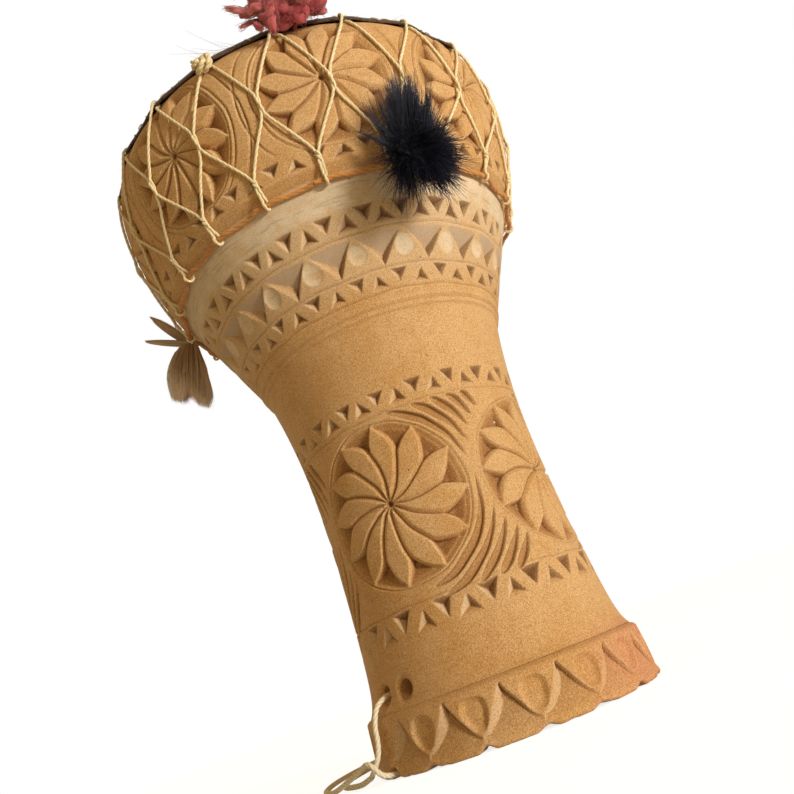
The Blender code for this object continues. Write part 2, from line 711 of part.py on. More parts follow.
def keep(thing, look, collection, parent=None):
    """Puts a piece in the collection, with a material of its own."""
    thing.data.materials.append(make_material(thing.name, look))
    thing.parent = parent
    collection.objects.link(thing)
    if thing.type == "MESH":
        thing.data.shade_smooth()
        thing.data.set_sharp_from_angle(angle=math.radians(35))
    return thing


def add_clay_and_skin(parts, cutters):
    body = keep(turned("clay_body", body_outline(), True), CLAY, parts)
    cut(body, cutter("foot_cutter", cutters, foot_cuts()))
    cut(body, cutter("collar_cutter", cutters, collar_cuts()))
    cut(body, cutter("bowl_cutter", cutters, bowl_cuts()))
    cut(body, cutter("stem_cutter", cutters, stem_cuts()))
    cut(body, cutter("cord_hole_cutter", cutters, cord_hole_cuts()))
    head = keep(turned("drum_skin", skin_outline(), False), HIDE, parts)
    cut(head, cutter("lap_cutter", cutters, lap_cuts()))


def add_cords(parts):
    lacing = lacing_points()
    print(f"least gap of the lacing to itself: {least_gap(lacing, LACE_DIAMETER) * 1000:.2f} mm")
    keep(tube("lacing_cord", lacing, LACE_DIAMETER, False, 1), COTTON, parts)
    keep(tube("lacing_knot", knot_points(), LACE_DIAMETER, True, 1), COTTON, parts)
    keep(tube("belly_ring", ring_points(), RING_DIAMETER, True, 1), CANE, parts)
    keep(tube("hanging_cord_hitch", hitch_points(), CORD_DIAMETER, False, 2), COTTON, parts)
    keep(tube("hanging_cord_loop", loop_points(), CORD_DIAMETER, False, 2), COTTON, parts)


def add_tassels(parts):
    ring_tie = RING_DIAMETER / 2 + CLEARANCE + TIE_DIAMETER / 2
    beside = LACE_SPREAD / 2 + LACE_OFF + TIE_DIAMETER / 2 + LACE_SLACK
    slope = lean(RING_HEIGHT)
    for name, number, way, look, tilt, size, side, lift in (
            ("navy", NAVY_LACE, 1, NAVY_FUR, slope, NAVY_SIZE, NAVY_SIDE, NAVY_LIFT),
            ("tan", TAN_LACE, -1, TAN_FUR, TAN_TILT, TAN_SIZE, 0, 0)):
        radius = ring_radius(lace_angle(number))
        angle = lace_angle(number) + way * beside / radius
        hinge = tassel_hinge(f"{name}_hinge", angle, radius, RING_HEIGHT)
        parts.objects.link(hinge)
        tie = tube(f"{name}_tie", tie_points(ring_tie), TIE_DIAMETER, True, 1)
        keep(tie, look, parts, hinge)
        gap = ring_tie + TIE_DIAMETER / 2 + CLEARANCE
        keep(tuft(f"{name}_tuft", size, gap, side, lift, tilt), look, parts, hinge)
    radius, height = lap_point(lap_share(RIM_TIE_STRIP / 2), SKIN / 2)
    hinge = tassel_hinge("red_hinge", RED_ANGLE, radius, height)
    parts.objects.link(hinge)
    tie = tube("red_tie", tie_points(RIM_TIE_RADIUS), RIM_TIE_DIAMETER, True, 1)
    keep(tie, RED_WOOL, parts, hinge)
    gap = RIM_TIE_RADIUS + RIM_TIE_DIAMETER / 2 + CLEARANCE
    keep(tuft("red_tuft", RED_SIZE, gap, 0, RED_LIFT, 0), RED_WOOL, parts, hinge)


def main():
    remove_everything()
    parts = make_collection("clay_hand_drum")
    cutters = make_collection("cutters")
    add_clay_and_skin(parts, cutters)
    add_cords(parts)
    add_tassels(parts)
    bpy.context.view_layer.update()


main()
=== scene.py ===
"""Dresses the clay goblet drum: carved clay, laced skin head, three tassels and a hanging cord.

Metres, +Z up along the drum's axis, and the foot stands on z = 0. An angle is counted around the
axis from the side that faces the viewer, and grows to the viewer's right.
"""
import json
import math
from typing import NamedTuple

import bmesh
import bpy
import numpy as np
from bpy.props import FloatProperty, FloatVectorProperty, IntProperty, PointerProperty
from mathutils import Matrix, Vector


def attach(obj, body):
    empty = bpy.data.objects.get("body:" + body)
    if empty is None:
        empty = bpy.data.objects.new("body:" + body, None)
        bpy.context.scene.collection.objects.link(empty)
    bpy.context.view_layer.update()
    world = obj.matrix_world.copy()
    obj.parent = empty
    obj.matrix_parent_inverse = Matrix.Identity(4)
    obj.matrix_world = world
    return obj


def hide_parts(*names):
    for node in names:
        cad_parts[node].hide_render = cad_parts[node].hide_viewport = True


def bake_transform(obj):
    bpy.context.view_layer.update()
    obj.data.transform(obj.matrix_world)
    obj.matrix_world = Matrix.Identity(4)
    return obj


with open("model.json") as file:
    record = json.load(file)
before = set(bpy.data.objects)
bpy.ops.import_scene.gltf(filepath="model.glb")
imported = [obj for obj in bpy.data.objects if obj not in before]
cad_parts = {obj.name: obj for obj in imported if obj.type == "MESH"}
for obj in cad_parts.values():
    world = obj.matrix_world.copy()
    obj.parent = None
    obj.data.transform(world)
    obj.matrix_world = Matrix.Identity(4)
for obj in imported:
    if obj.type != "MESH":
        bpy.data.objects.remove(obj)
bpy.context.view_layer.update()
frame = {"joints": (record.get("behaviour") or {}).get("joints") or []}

bl_info = {
    "name": "Clay hand drum",
    "version": (1, 0, 0),
    "blender": (4, 5, 0),
    "location": "3D View > Sidebar > Drum",
    "description": "Dresses a clay goblet drum with its carving, skin head, lacing and tassels",
    "category": "Object",
}

FULL = 2 * math.pi
MILLIMETRE = 0.001
# The side that faces the viewer, as an angle from +X.
FRONT = math.radians(-60)
# Room between pieces that lie against each other.
CLEARANCE = 0.0003

# Turned clay body.
BODY_HEIGHT = 0.2255
WALL = 0.0065
FOOT_RADIUS = 0.0462
FOOT_WALL = 0.0080
FOOT_BAND_HEIGHT = 0.0160
FOOT_BAND_TAPER = 0.0012
ANKLE_RADIUS = 0.0416
ANKLE_FLARE = 0.0022
ANKLE_FLARE_REACH = 0.0032
WAIST_RADIUS = 0.0387
WAIST_HEIGHT = 0.0770
NECK_RADIUS = 0.0438
NECK_HEIGHT = 0.1270
BEADS = 2
BEAD_PITCH = 0.0022
BEAD_RISE = 0.0005
COLLAR_RADIUS = 0.0637
SHOULDER_HEIGHT = 0.1684
SHOULDER_RISE = 0.0022
SHOULDER_STEP = 0.0030
BOWL_RADIUS = 0.0758
BOWL_HEIGHT = 0.2080
RIM_RADIUS = 0.0672
# How fast the outline bends along the ankle, the neck, the belly and the rim.
ANKLE_CURVE = 2.0
NECK_CURVE = 2.2
BELLY_CURVE = 1.75
RIM_CURVE = 3.2
# Faint rings that throwing left inside.
THROWING_RISE = 0.00012
THROWING_PITCH = 0.0046
LIP_RADIUS = WALL / 2
LIP_HEIGHT = BODY_HEIGHT - LIP_RADIUS
SHOULDER_TOP = SHOULDER_HEIGHT + SHOULDER_RISE
SHOULDER_RADIUS = COLLAR_RADIUS + SHOULDER_STEP

# Carved foot, collar and cord holes.
TEETH = 17
TOOTH_ANGLE = math.radians(-55.2)
TOOTH_TIP = 0.0030
TOOTH_TOP = 0.0153
FOOT_GROUND_DEPTH = 0.0017
SHIELD_DEPTH = 0.0011
NOTCH_RADIUS = 0.0029
SCALLOP_REACH = 0.0062
# The height where the foot's ring ends and the ankle's starts.
ANKLE_START = 0.0168
TRIANGLES = 21
TRIANGLE_ANGLE = math.radians(-3.5)
TRIANGLE_LOW = 0.1400
TRIANGLE_HIGH = 0.1498
TRIANGLE_DEPTH = 0.0022
OVAL_HEIGHT = 0.1450
OVAL_DEPTH = 0.0006
HOLE_DIAMETER = 0.0050
HOLE_HEIGHT = 0.0217
HOLE_FLARE = 0.0016
HOLE_DISH = 0.0013
HOLE_ANGLES = (TOOTH_ANGLE, math.radians(-41.0))

# Skin head and the lap that hangs over the rim.
SKIN = 0.0007
LAP_TOP_ANGLE = math.radians(60)
LAP_BOTTOM = 0.2176
LAP_STANDOFF = 0.0009
LAP_FULLNESS = 0.0012
LAP_HUG = 0.0007
LAP_LOOSE_ANGLE = math.radians(9)
STITCH_RADIUS = 0.00022

# Lacing and belly ring.
LACES = 19
LACE_START = math.radians(3.7)
# How far the lacing points stray from even spacing.
LACE_DRIFT = math.radians(3.15)
LACE_SPREAD = 0.0008
LACE_HOLE_SHARE = 0.66
LACE_KNOT_NUMBER = -1
LACE_PLAY = 0.0001
CROSSING_HEIGHT = 0.1930
CROSSING_LENGTH = 0.0060
CROSSING_HALF_TURNS = 1
LEG_LENGTH = 0.0026
WRAP_START = math.radians(40)
WRAP_END = math.radians(-250)
WRAP_STEPS = 10
# The ring rides over the lacing up to the first distance from a lacing point, and lies on the clay
# from the second.
RIDE_FLAT = 0.0034
RIDE_END = 0.0078
KNOT_SIZE = 0.0084
KNOT_HEIGHT = 0.2144
# The knot's cord is thicker than the lacing by this factor, and its tails are given in millimetres
# across the knot.
KNOT_PUFF = 1.6
KNOT_TAILS = (
    ((0.4, 0.2), (2.4, 1.3), (3.4, 0.4)),
    ((-0.5, -0.3), (-2.2, 1.0), (-2.9, 2.2)),
)
KNOT_TAIL_RISE = 0.0012

# Hanging cord, as points (radius, distance to the right, height) beside the tooth at TOOTH_ANGLE.
HITCH_ROUTE = (
    (0.0508, -0.0046, 0.0028), (0.0500, -0.0022, 0.0050), (0.0487, -0.0008, 0.0078),
    (0.0479, -0.0003, 0.0112), (0.0474, 0.0, 0.0150), (0.0452, 0.0, 0.0193),
    (0.0415, 0.0, 0.0213), (0.0375, 0.0, 0.0216), (0.0342, 0.0, 0.0207),
    (0.0332, 0.0, 0.0165), (0.0341, 0.0, 0.0085), (0.0348, 0.0, 0.0040),
    (0.0362, 0.0, 0.0018), (0.0385, 0.0, 0.0013), (0.0425, 0.0, 0.0013),
    (0.0470, 0.0, 0.0015),
    (0.0502, 0.0004, 0.0028), (0.0519, 0.0, 0.0054), (0.0526, -0.0018, 0.0064),
    (0.0532, -0.0048, 0.0056),
)
LOOP_ROUTE = (
    (0.0516, -0.0120, 0.0013), (0.0512, -0.0240, 0.0013), (0.0440, -0.0390, 0.0013),
    (0.0310, -0.0510, 0.0013), (0.0180, -0.0580, 0.0013), (0.0090, -0.0640, 0.0013),
    (0.0100, -0.0700, 0.0013), (0.0170, -0.0702, 0.0013), (0.0300, -0.0640, 0.0013),
    (0.0430, -0.0520, 0.0013), (0.0530, -0.0360, 0.0013), (0.0560, -0.0220, 0.0015),
    (0.0546, -0.0120, 0.0036),
)

# The camera, in a frame whose -Y side faces the viewer: place, turn and focal length in pixels.
CAMERA_PLACE = (0.0, -0.26243, 0.02211)
CAMERA_TURN = (0.33777466, 0.36045677, 0.06065911)
CAMERA_FOCUS = 769.83
IMAGE_SIZE = 794
SENSOR = 36.0

# The key lamp stands to the right of, above and before the drum, by these shares of its way.
KEY_WAY = (0.62, 0.45, 0.70)
KEY_DISTANCE = 0.9
KEY_SIZE = 0.18

# The floor, and how much plain white it adds where it is seen.
FLOOR_HALF = 4
FLOOR_WHITE = 3.2
FLOOR_WHITE_SHARE = 0.25


def tone(red, green, blue):
    """A colour as a screen shows it, from 0 to 255, in linear values."""
    shares = (red / 255, green / 255, blue / 255)
    return tuple(v / 12.92 if v <= 0.04045 else ((v + 0.055) / 1.055) ** 2.4 for v in shares)


def colour_setting(name, description, default):
    return FloatVectorProperty(name=name, description=description, subtype="COLOR", size=3,
                               min=0, max=1, default=default)


def length_setting(name, description, default):
    return FloatProperty(name=name, description=description, unit="LENGTH", precision=5,
                         min=0, default=default)


class DrumClaySettings(bpy.types.PropertyGroup):
    clay: colour_setting("Clay", "Colour of the dry clay", tone(220, 174, 115))
    shade: colour_setting("Fired shade", "Darker fired patches", tone(208, 156, 90))
    # Painted shade: darker colour laid in the cuts, the more the deeper they are.
    painted_cut_shade: colour_setting("Cuts", "Colour at the bottom of the cuts", tone(184, 124, 56))
    # Painted shade: dark colour on chip facets that face away from the key lamp, in the rosettes' chips
    # and pits, in the leaf gouges and on the foot's sunk ground.
    painted_shade: colour_setting("Soot", "Dark facets of the chips", tone(84, 50, 22))
    # Painted shade in creases: this colour darkens the surface where it is hollower than around it.
    line: colour_setting("Knife lines", "Colour in the sharpest cuts", tone(86, 46, 16))
    edge: colour_setting("Worn edges", "Colour of rubbed edges", tone(240, 206, 150))
    # Pale dust on the collar bands, and also painted highlight on facets and walls that face the key
    # lamp.
    dust_and_highlight: colour_setting("Dust", "Pale dust on the collar", tone(232, 210, 174))
    # A greyer, darker tone on the upper facet of each sunk triangle, the facet that faces down.
    facet_grey: colour_setting("Ash", "Grey film on the collar's large facets", tone(178, 152, 126))
    blush: colour_setting("Blush", "Pink clay on the foot", tone(216, 146, 104))
    depth: FloatProperty(name="Carving depth", description="Depth of all cuts, as a share",
                         min=0, max=1.5, default=1.0)


class DrumCordSettings(bpy.types.PropertyGroup):
    lace: length_setting("Lacing", "Diameter of the lacing", 0.00108)
    lace_lay: length_setting("Lacing twist", "Length of one turn of the lacing", 0.0042)
    ring: length_setting("Belly ring", "Diameter of the belly ring", 0.0017)
    ring_lay: length_setting("Ring twist", "Length of one turn of the ring", 0.0085)
    cord: length_setting("Hanging cord", "Diameter of the hanging cord", 0.0016)
    cord_lay: length_setting("Cord twist", "Length of one turn of the cord", 0.0055)
    cotton: colour_setting("Cotton", "Colour of lacing and cord", tone(250, 228, 174))
    cane: colour_setting("Ring", "Colour of the belly ring", tone(208, 140, 60))


class DrumSkinSettings(bpy.types.PropertyGroup):
    lap: colour_setting("Lap", "Dark dried edge of the skin", tone(96, 72, 48))
    head: colour_setting("Head", "Parchment of the head", tone(214, 190, 150))
    stitches: IntProperty(name="Stitches", description="Stitches round the lap", min=0, default=95)


class DrumTasselSettings(bpy.types.PropertyGroup):
    navy: colour_setting("Navy fur", "Colour of the dark tassel", tone(10, 11, 22))
    red: colour_setting("Red wool", "Colour of the red tassel", tone(190, 80, 78))
    tan: colour_setting("Tan fur", "Colour of the tan tassel", tone(242, 210, 166))
    hair: length_setting("Hair", "Thickness of one hair", 0.00016)
    navy_hairs: IntProperty(name="Navy hairs", description="Hairs in the dark tassel",
                            min=100, default=5000)
    red_hairs: IntProperty(name="Red hairs", description="Loose hairs on the red tassel",
                           min=100, default=2500)
    tan_hairs: IntProperty(name="Tan hairs", description="Hairs in the tan tassel",
                           min=100, default=3600)


class DrumStageSettings(bpy.types.PropertyGroup):
    floor: colour_setting("Floor", "Colour of the floor", tone(232, 240, 250))
    key: FloatProperty(name="Key lamp", description="Power of the key lamp", unit="POWER",
                       min=0, default=6.2)
    fill: FloatProperty(name="Fill", description="Brightness of the room", min=0, default=0.37)
    warmth: colour_setting("Room", "Colour of the room's light", (1.0, 0.73, 0.36))


class Wire:
    """A shader socket. Arithmetic on it adds Math nodes to its tree."""

    def __init__(self, finish, socket):
        self.finish = finish
        self.socket = socket

    def __add__(self, other):
        return self.finish.maths("ADD", self, other)

    def __radd__(self, other):
        return self.finish.maths("ADD", other, self)

    def __sub__(self, other):
        return self.finish.maths("SUBTRACT", self, other)

    def __rsub__(self, other):
        return self.finish.maths("SUBTRACT", other, self)

    def __mul__(self, other):
        return self.finish.maths("MULTIPLY", self, other)

    def __rmul__(self, other):
        return self.finish.maths("MULTIPLY", other, self)


class Finish:
    """A node tree under construction."""

    def __init__(self, tree):
        self.tree = tree

    def node(self, kind, settings=None, sockets=None, output=0):
        made = self.tree.nodes.new(kind)
        for key, value in (settings or {}).items():
            setattr(made, key, value)
        for key, value in (sockets or {}).items():
            if isinstance(value, Wire):
                self.tree.links.new(value.socket, made.inputs[key])
            else:
                made.inputs[key].default_value = value
        return Wire(self, made.outputs[output])

    def maths(self, operation, *values):
        return self.node("ShaderNodeMath", {"operation": operation}, dict(enumerate(values)))

    def blend(self, share, first, second):
        colours = [c if isinstance(c, Wire) else (*c, 1) for c in (first, second)]
        return self.node("ShaderNodeMix", {"data_type": "RGBA"},
                         {0: share, 6: colours[0], 7: colours[1]}, 2)

    def layered(self, colour, *layers):
        """A colour with others laid over it in turn, each given as its share and itself."""
        for share, tint in layers:
            colour = self.blend(share, colour, tint)
        return colour

    def ease(self, value, low, high):
        return self.node("ShaderNodeMapRange", {"interpolation_type": "SMOOTHSTEP"},
                         {"Value": value, "From Min": low, "From Max": high})

    def place(self):
        return self.node("ShaderNodeTexCoord", output="Object")

    def stretched(self, around, along):
        """Places scaled by one value around the drum and another along its axis."""
        return self.node("ShaderNodeVectorMath", {"operation": "MULTIPLY"},
                         {0: self.place(), 1: (around, around, along)})

    def mark(self, name):
        return self.node("ShaderNodeAttribute", {"attribute_name": name}, output="Fac")

    def noise(self, scale, detail=3.0, place=None):
        return self.node("ShaderNodeTexNoise", None,
                         {"Vector": place or self.place(), "Scale": scale, "Detail": detail})

    def bump(self, strength, distance, height):
        return self.node("ShaderNodeBump", None,
                         {"Strength": strength, "Distance": distance, "Height": height})

    def specks(self, scale, size, share):
        """Round specks in a share of the cells of a grid, 1 in their middle."""
        settings = {"feature": "F1"}
        sockets = {"Vector": self.place(), "Scale": scale}
        away = self.node("ShaderNodeTexVoronoi", settings, sockets, "Distance")
        pick = self.node("ShaderNodeTexVoronoi", settings, sockets, "Color")
        chosen = self.node("ShaderNodeSeparateColor", None, {"Color": pick})
        return self.ease(away, size, size * 0.4) * self.maths("LESS_THAN", chosen, share)


def new_material(name, roughness, sheen=0.0):
    material = bpy.data.materials.new(name)
    material.use_nodes = True
    shader = material.node_tree.nodes["Principled BSDF"]
    shader.inputs["Roughness"].default_value = roughness
    shader.inputs["Sheen Weight"].default_value = sheen
    return material, Finish(material.node_tree), shader


def feed(finish, shader, **values):
    """Links values to the shader's sockets, given as base_color=..., normal=..."""
    for key, value in values.items():
        finish.tree.links.new(value.socket, shader.inputs[key.replace("_", " ").title()])


def clay_material(look):
    material, finish, shader = new_material("sandy_clay", roughness=0.88)
    cut, crease, dust_and_highlight = finish.mark("cut"), finish.mark("crease"), finish.mark("dust_and_highlight")
    broad = finish.noise(38, 4)
    patch = finish.noise(170, 4)
    sand = finish.noise(2900, 2)
    grit = finish.noise(6400, 1)
    streaks = finish.noise(1, 4, finish.stretched(110, 1500))
    # Pale dust, and painted highlight on facets that face the key lamp.
    dust_and_highlight_share = dust_and_highlight * finish.ease(patch + 0.5 * streaks, 0.35, 0.85)
    pink = finish.mark("blush") * finish.ease(broad + 0.4 * patch, 0.4, 0.9) * 0.85
    worn = finish.ease(crease * -1, 0.12, 0.8)
    grains = sand * 0.65 + grit * 0.35
    bare = 1 - 0.6 * finish.maths("MAXIMUM", dust_and_highlight, finish.mark("grey"))
    rings = finish.ease(streaks, 0.5, 0.75) * (1 - dust_and_highlight)
    scratched = finish.ease(dust_and_highlight, 0.86, 0.93) * finish.ease(streaks, 0.55, 0.68)
    pits = finish.specks(260, 0.09, 0.08 + 0.3 * dust_and_highlight)
    flecks = finish.specks(60, 0.03, 0.15)
    colour = finish.layered(
        look.clay,
        (finish.ease(broad + 0.5 * patch, 0.6, 1.0), look.shade),
        # Painted shade, stronger the deeper the cut.
        (finish.ease(cut, 0.3, 1.0) * 0.85, look.painted_cut_shade),
        # Painted shade on facets that face away from the key lamp, and in pits, gouges and sunk
        # grounds.
        (finish.mark("painted_shade") * (0.7 + 0.35 * patch), look.painted_shade),
        # Greyer, darker tone on the triangles' upper facets, which face down.
        (finish.mark("grey") * (0.45 + 0.7 * patch), look.facet_grey),
        # Dust colour: real dust on the collar bands, painted highlight on lit facets.
        (dust_and_highlight_share, look.dust_and_highlight),
        (pink, look.blush),
        # Painted shade in creases, where the surface is hollower than around it.
        (finish.ease(crease, 0.1, 0.9) * 0.75, look.line),
        (worn * 0.55 * (0.5 + patch), look.edge),
        (finish.ease(grains, 0.46, 0.64) * 0.75 * bare, tone(158, 102, 46)),
        (finish.ease(grains, 0.46, 0.34) * 0.6 * bare, tone(244, 208, 148)),
        (rings * 0.12, tone(150, 96, 44)),
        (scratched * 0.28, tone(160, 116, 68)),
        (pits * 0.8, tone(84, 50, 24)),
        (flecks, tone(250, 244, 228)))
    relief = 0.55 * sand + 0.3 * grit + 0.9 * patch - 1.4 * pits - 0.7 * scratched
    normal = finish.bump(strength=0.75, distance=0.0003, height=relief)
    feed(finish, shader, base_color=colour, normal=normal)
    return material


def cord_material(name, colour, shade_and_dirt, rough):
    """Plied cord: painted shade between the plies, darker dirt patches, and fine fibres along them."""
    material, finish, shader = new_material(name, rough, sheen=0.25)
    ply = finish.mark("ply")
    fibre = finish.noise(2600, 3)
    tint_amount = finish.noise(90, 3)
    tint = finish.layered(
        colour,
        # Painted shade in the grooves between the plies.
        (finish.ease(ply, 0.3, 1.0) * 0.6, shade_and_dirt),
        (finish.ease(tint_amount, 0.55, 0.8) * 0.3, shade_and_dirt),
        (finish.ease(fibre, 0.45, 0.75) * 0.25, shade_and_dirt))
    normal = finish.bump(strength=0.5, distance=0.00012, height=fibre - ply)
    feed(finish, shader, base_color=tint, normal=normal)
    return material


def skin_material(look):
    material, finish, shader = new_material("dried_skin", roughness=0.8)
    lap = finish.mark("lap")
    cloud = finish.noise(45, 5)
    grain = finish.noise(900, 3)
    veins = finish.ease(finish.noise(120, 6), 0.52, 0.66)
    head = finish.layered(
        look.head,
        (finish.ease(cloud, 0.35, 0.7), tone(176, 140, 96)),
        (veins * 0.35, tone(138, 104, 70)))
    edge = finish.layered(
        look.lap,
        (finish.ease(grain + 0.5 * cloud, 0.6, 0.95), tone(38, 28, 20)),
        (finish.ease(cloud, 0.5, 0.72) * 0.5, tone(126, 96, 62)))
    colour = finish.blend(finish.ease(lap, 0.0, 0.25), head, edge)
    normal = finish.bump(strength=0.5, distance=0.0004, height=grain + cloud)
    feed(finish, shader, base_color=colour, normal=normal)
    return material


def hair_material(name, root, tip, odd, rough, sheen):
    """Hair: root to tip, with odd locks. The marks come from the strands."""
    material, finish, shader = new_material(name, rough, sheen)
    colour = finish.layered(
        root,
        (finish.ease(finish.mark("along"), 0.1, 1.0), tip),
        (finish.ease(finish.mark("lock"), 0.2, 1.0) * 0.85, odd),
        (finish.ease(finish.noise(700, 3), 0.5, 0.75) * 0.45, root))
    normal = finish.bump(strength=0.4, distance=0.0002, height=finish.noise(2600, 2))
    feed(finish, shader, base_color=colour, normal=normal)
    return material


def place_on(mesh, material, body, slot, *nodes):
    """Puts a finished mesh in the scene, in the place of CAD nodes and riding on a body, if any."""
    thing = bpy.data.objects.new(mesh.name, mesh)
    mesh.materials.append(material)
    bpy.context.scene.collection.objects.link(thing)
    if body:
        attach(thing, body)
    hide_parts(*nodes)
    return thing


def unit(vectors):
    return vectors / np.maximum(np.linalg.norm(vectors, axis=-1, keepdims=True), 1e-12)


def ease(value, low, high):
    share = np.clip((value - low) / (high - low), 0, 1)
    return share * share * (3 - 2 * share)


def wrapped(angle):
    """The same angle, between minus and plus half a turn."""
    return np.remainder(angle + math.pi, FULL) - math.pi


def polar(radius, angle, height):
    """Points at a radius, an angle from the front and a height."""
    radius, angle, height = np.broadcast_arrays(radius, angle, height)
    turned = FRONT + angle
    return np.stack((radius * np.cos(turned), radius * np.sin(turned), height), axis=-1)


def outer(z):
    """Outer radius of the uncarved clay at height z."""
    z = np.asarray(z, dtype=float)

    def share(low, high, power=1.0):
        return np.clip((z - low) / (high - low), 0, 1) ** power

    ankle = share(WAIST_HEIGHT, FOOT_BAND_HEIGHT, ANKLE_CURVE)
    flare = ANKLE_FLARE * np.exp(-np.clip(z - FOOT_BAND_HEIGHT, 0, 1) / ANKLE_FLARE_REACH)
    neck = share(WAIST_HEIGHT, NECK_HEIGHT, NECK_CURVE)
    belly = share(BOWL_HEIGHT, SHOULDER_TOP, BELLY_CURVE)
    stretches = (
        (FOOT_BAND_HEIGHT, FOOT_RADIUS - FOOT_BAND_TAPER * z / FOOT_BAND_HEIGHT),
        (WAIST_HEIGHT, WAIST_RADIUS + (ANKLE_RADIUS - WAIST_RADIUS) * ankle + flare),
        (NECK_HEIGHT, WAIST_RADIUS + (NECK_RADIUS - WAIST_RADIUS) * neck),
        (SHOULDER_HEIGHT,
         NECK_RADIUS + (COLLAR_RADIUS - NECK_RADIUS) * share(NECK_HEIGHT, SHOULDER_HEIGHT)),
        (SHOULDER_TOP, COLLAR_RADIUS + SHOULDER_STEP * share(SHOULDER_HEIGHT, SHOULDER_TOP)),
        (BOWL_HEIGHT, BOWL_RADIUS - (BOWL_RADIUS - SHOULDER_RADIUS) * belly),
    )
    rim = BOWL_RADIUS - (BOWL_RADIUS - RIM_RADIUS) * share(BOWL_HEIGHT, LIP_HEIGHT, RIM_CURVE)
    return np.select([z < top for top, _ in stretches], [radius for _, radius in stretches], rim)


def inner(z):
    """Inner radius of the clay, with faint throwing rings."""
    heights = (0, FOOT_BAND_HEIGHT, WAIST_HEIGHT, NECK_HEIGHT, SHOULDER_HEIGHT)
    radii = (FOOT_RADIUS - FOOT_WALL, ANKLE_RADIUS - WALL, WAIST_RADIUS - WALL,
             NECK_RADIUS - WALL, COLLAR_RADIUS - WALL)
    pipe = np.interp(z, heights, radii)
    radius = np.where(np.asarray(z) < SHOULDER_TOP, pipe, outer(z) - WALL)
    return radius + THROWING_RISE * np.sin(np.asarray(z) * FULL / THROWING_PITCH)


CLIMB_HEIGHTS = np.linspace(0, LIP_HEIGHT, 2000)
CLIMB = np.concatenate(([0], np.cumsum(np.hypot(np.diff(CLIMB_HEIGHTS),
                                                np.diff(outer(CLIMB_HEIGHTS))))))
CHANCE = np.random.default_rng(11).random(512)


def climb(low, high):
    """Distance along the clay's surface from one height to another."""
    return np.interp(high, CLIMB_HEIGHTS, CLIMB) - np.interp(low, CLIMB_HEIGHTS, CLIMB)


def cells(angle, first, count):
    """Offset from the nearest of count even places round the drum, and that place's number."""
    turn = (angle - first) * count / FULL
    number = np.rint(turn)
    return (turn - number) * FULL / count, number.astype(int) % count


class ChipRow(NamedTuple):
    """A row of three-facet chips that point up and down in turn."""
    count: int
    first: float
    low: float
    high: float
    half: float
    up: float
    down: float


CHIP_ROWS = (
    ChipRow(28, math.radians(10.0), 0.1712, 0.1758, 0.0034, 0.0020, 0.0020),
    ChipRow(28, math.radians(4.5), 0.1522, 0.1582, 0.0033, 0.0024, 0.0024),
    ChipRow(21, math.radians(9.5), 0.1340, 0.1389, 0.0030, 0.0021, 0.0021),
    ChipRow(21, math.radians(34.5), 0.0998, 0.1056, 0.0031, 0.0020, 0.0020),
    ChipRow(18, math.radians(18.0), 0.0338, 0.0410, 0.0034, 0.0016, 0.0025),
)
UPPER_STEM_CHIPS, LOWER_STEM_CHIPS = CHIP_ROWS[3:]
CHIP_SHARE = 0.84
SCRIBED_LINES = (0.0418, 0.0984, 0.1330, 0.1396, 0.1510)
SCRIBED_DEPTH = 0.0005
# How far the carver's hand slips, in broad and in fine waves.
BROAD_SLIP = 0.00016
FINE_SLIP = 0.00012
# Pale dust on the collar: its share, and the heights between which it sets in.
DUST_BANDS = ((0.3, 0.1320, 0.1400), (0.15, 0.1480, 0.1560), (0.5, 0.1572, 0.1600))


class Rosette(NamedTuple):
    """A round flower of carved petals."""
    angle: float
    height: float
    size: float
    twist: float
    widest: float
    curve: float
    bevel: float
    groove: float
    ground: float


PETALS = 12
PETAL_PIT = 0.0014
PETAL_PIT_DEPTH = 0.0022
CIRCLE_DEPTH = 0.0007
# Distances from a rosette's circle over which its grooves and the ground between petals sink in.
GROOVE_FADE = 0.0016
GROUND_FADE = 0.0050
BACK_BEVEL = 0.0006
BOWL_CARVING_LOW = 0.1738
BOWL_ROSETTES = tuple(
    Rosette(even - LACE_DRIFT * math.sin(even), 0.1960, 0.0222, 0.30, 0.66, 1.05,
            0.0014, 0.0012, 0.0028)
    for even in (math.radians(11.4 + 45 * n) for n in range(8)))
STEM_ROSETTES = tuple(
    Rosette(math.radians(angle), height, 0.0252, -0.42, 0.66, 1.2, 0.0013, 0.0012, 0.0026)
    for angle, height in ((-20.0, 0.0715), (61.5, 0.0694), (154.0, 0.0705), (247.0, 0.0712)))
LEAVES = 5
LEAF_PITCH = 0.0038
LEAF_WIDTH = 0.0030
LEAF_DEPTH = 0.0015


def from_centre(angle, z, rosette):
    """Distances to the right of and above a rosette's centre, along the clay."""
    return wrapped(angle - rosette.angle) * outer(z), climb(rosette.height, z)


def pyramid(across, above, half, tall, steep, skew=1.0):
    """Depth share of a three-facet chip, 1 at its deepest, and where its base facet lies.

    Its two sides are steep times as steep as the facet on its base, the right one skew times more.
    """
    slant = np.hypot(half, tall)
    to_side = steep * (half * (1 - above / tall) - np.abs(across)) * tall / slant
    to_side = np.where(across > 0, to_side * skew, to_side)
    peak = steep * half / slant
    depth = np.clip(np.minimum(to_side, above) * (1 + peak) / (tall * peak), 0, 1)
    return depth, (above < to_side) & (depth > 0)


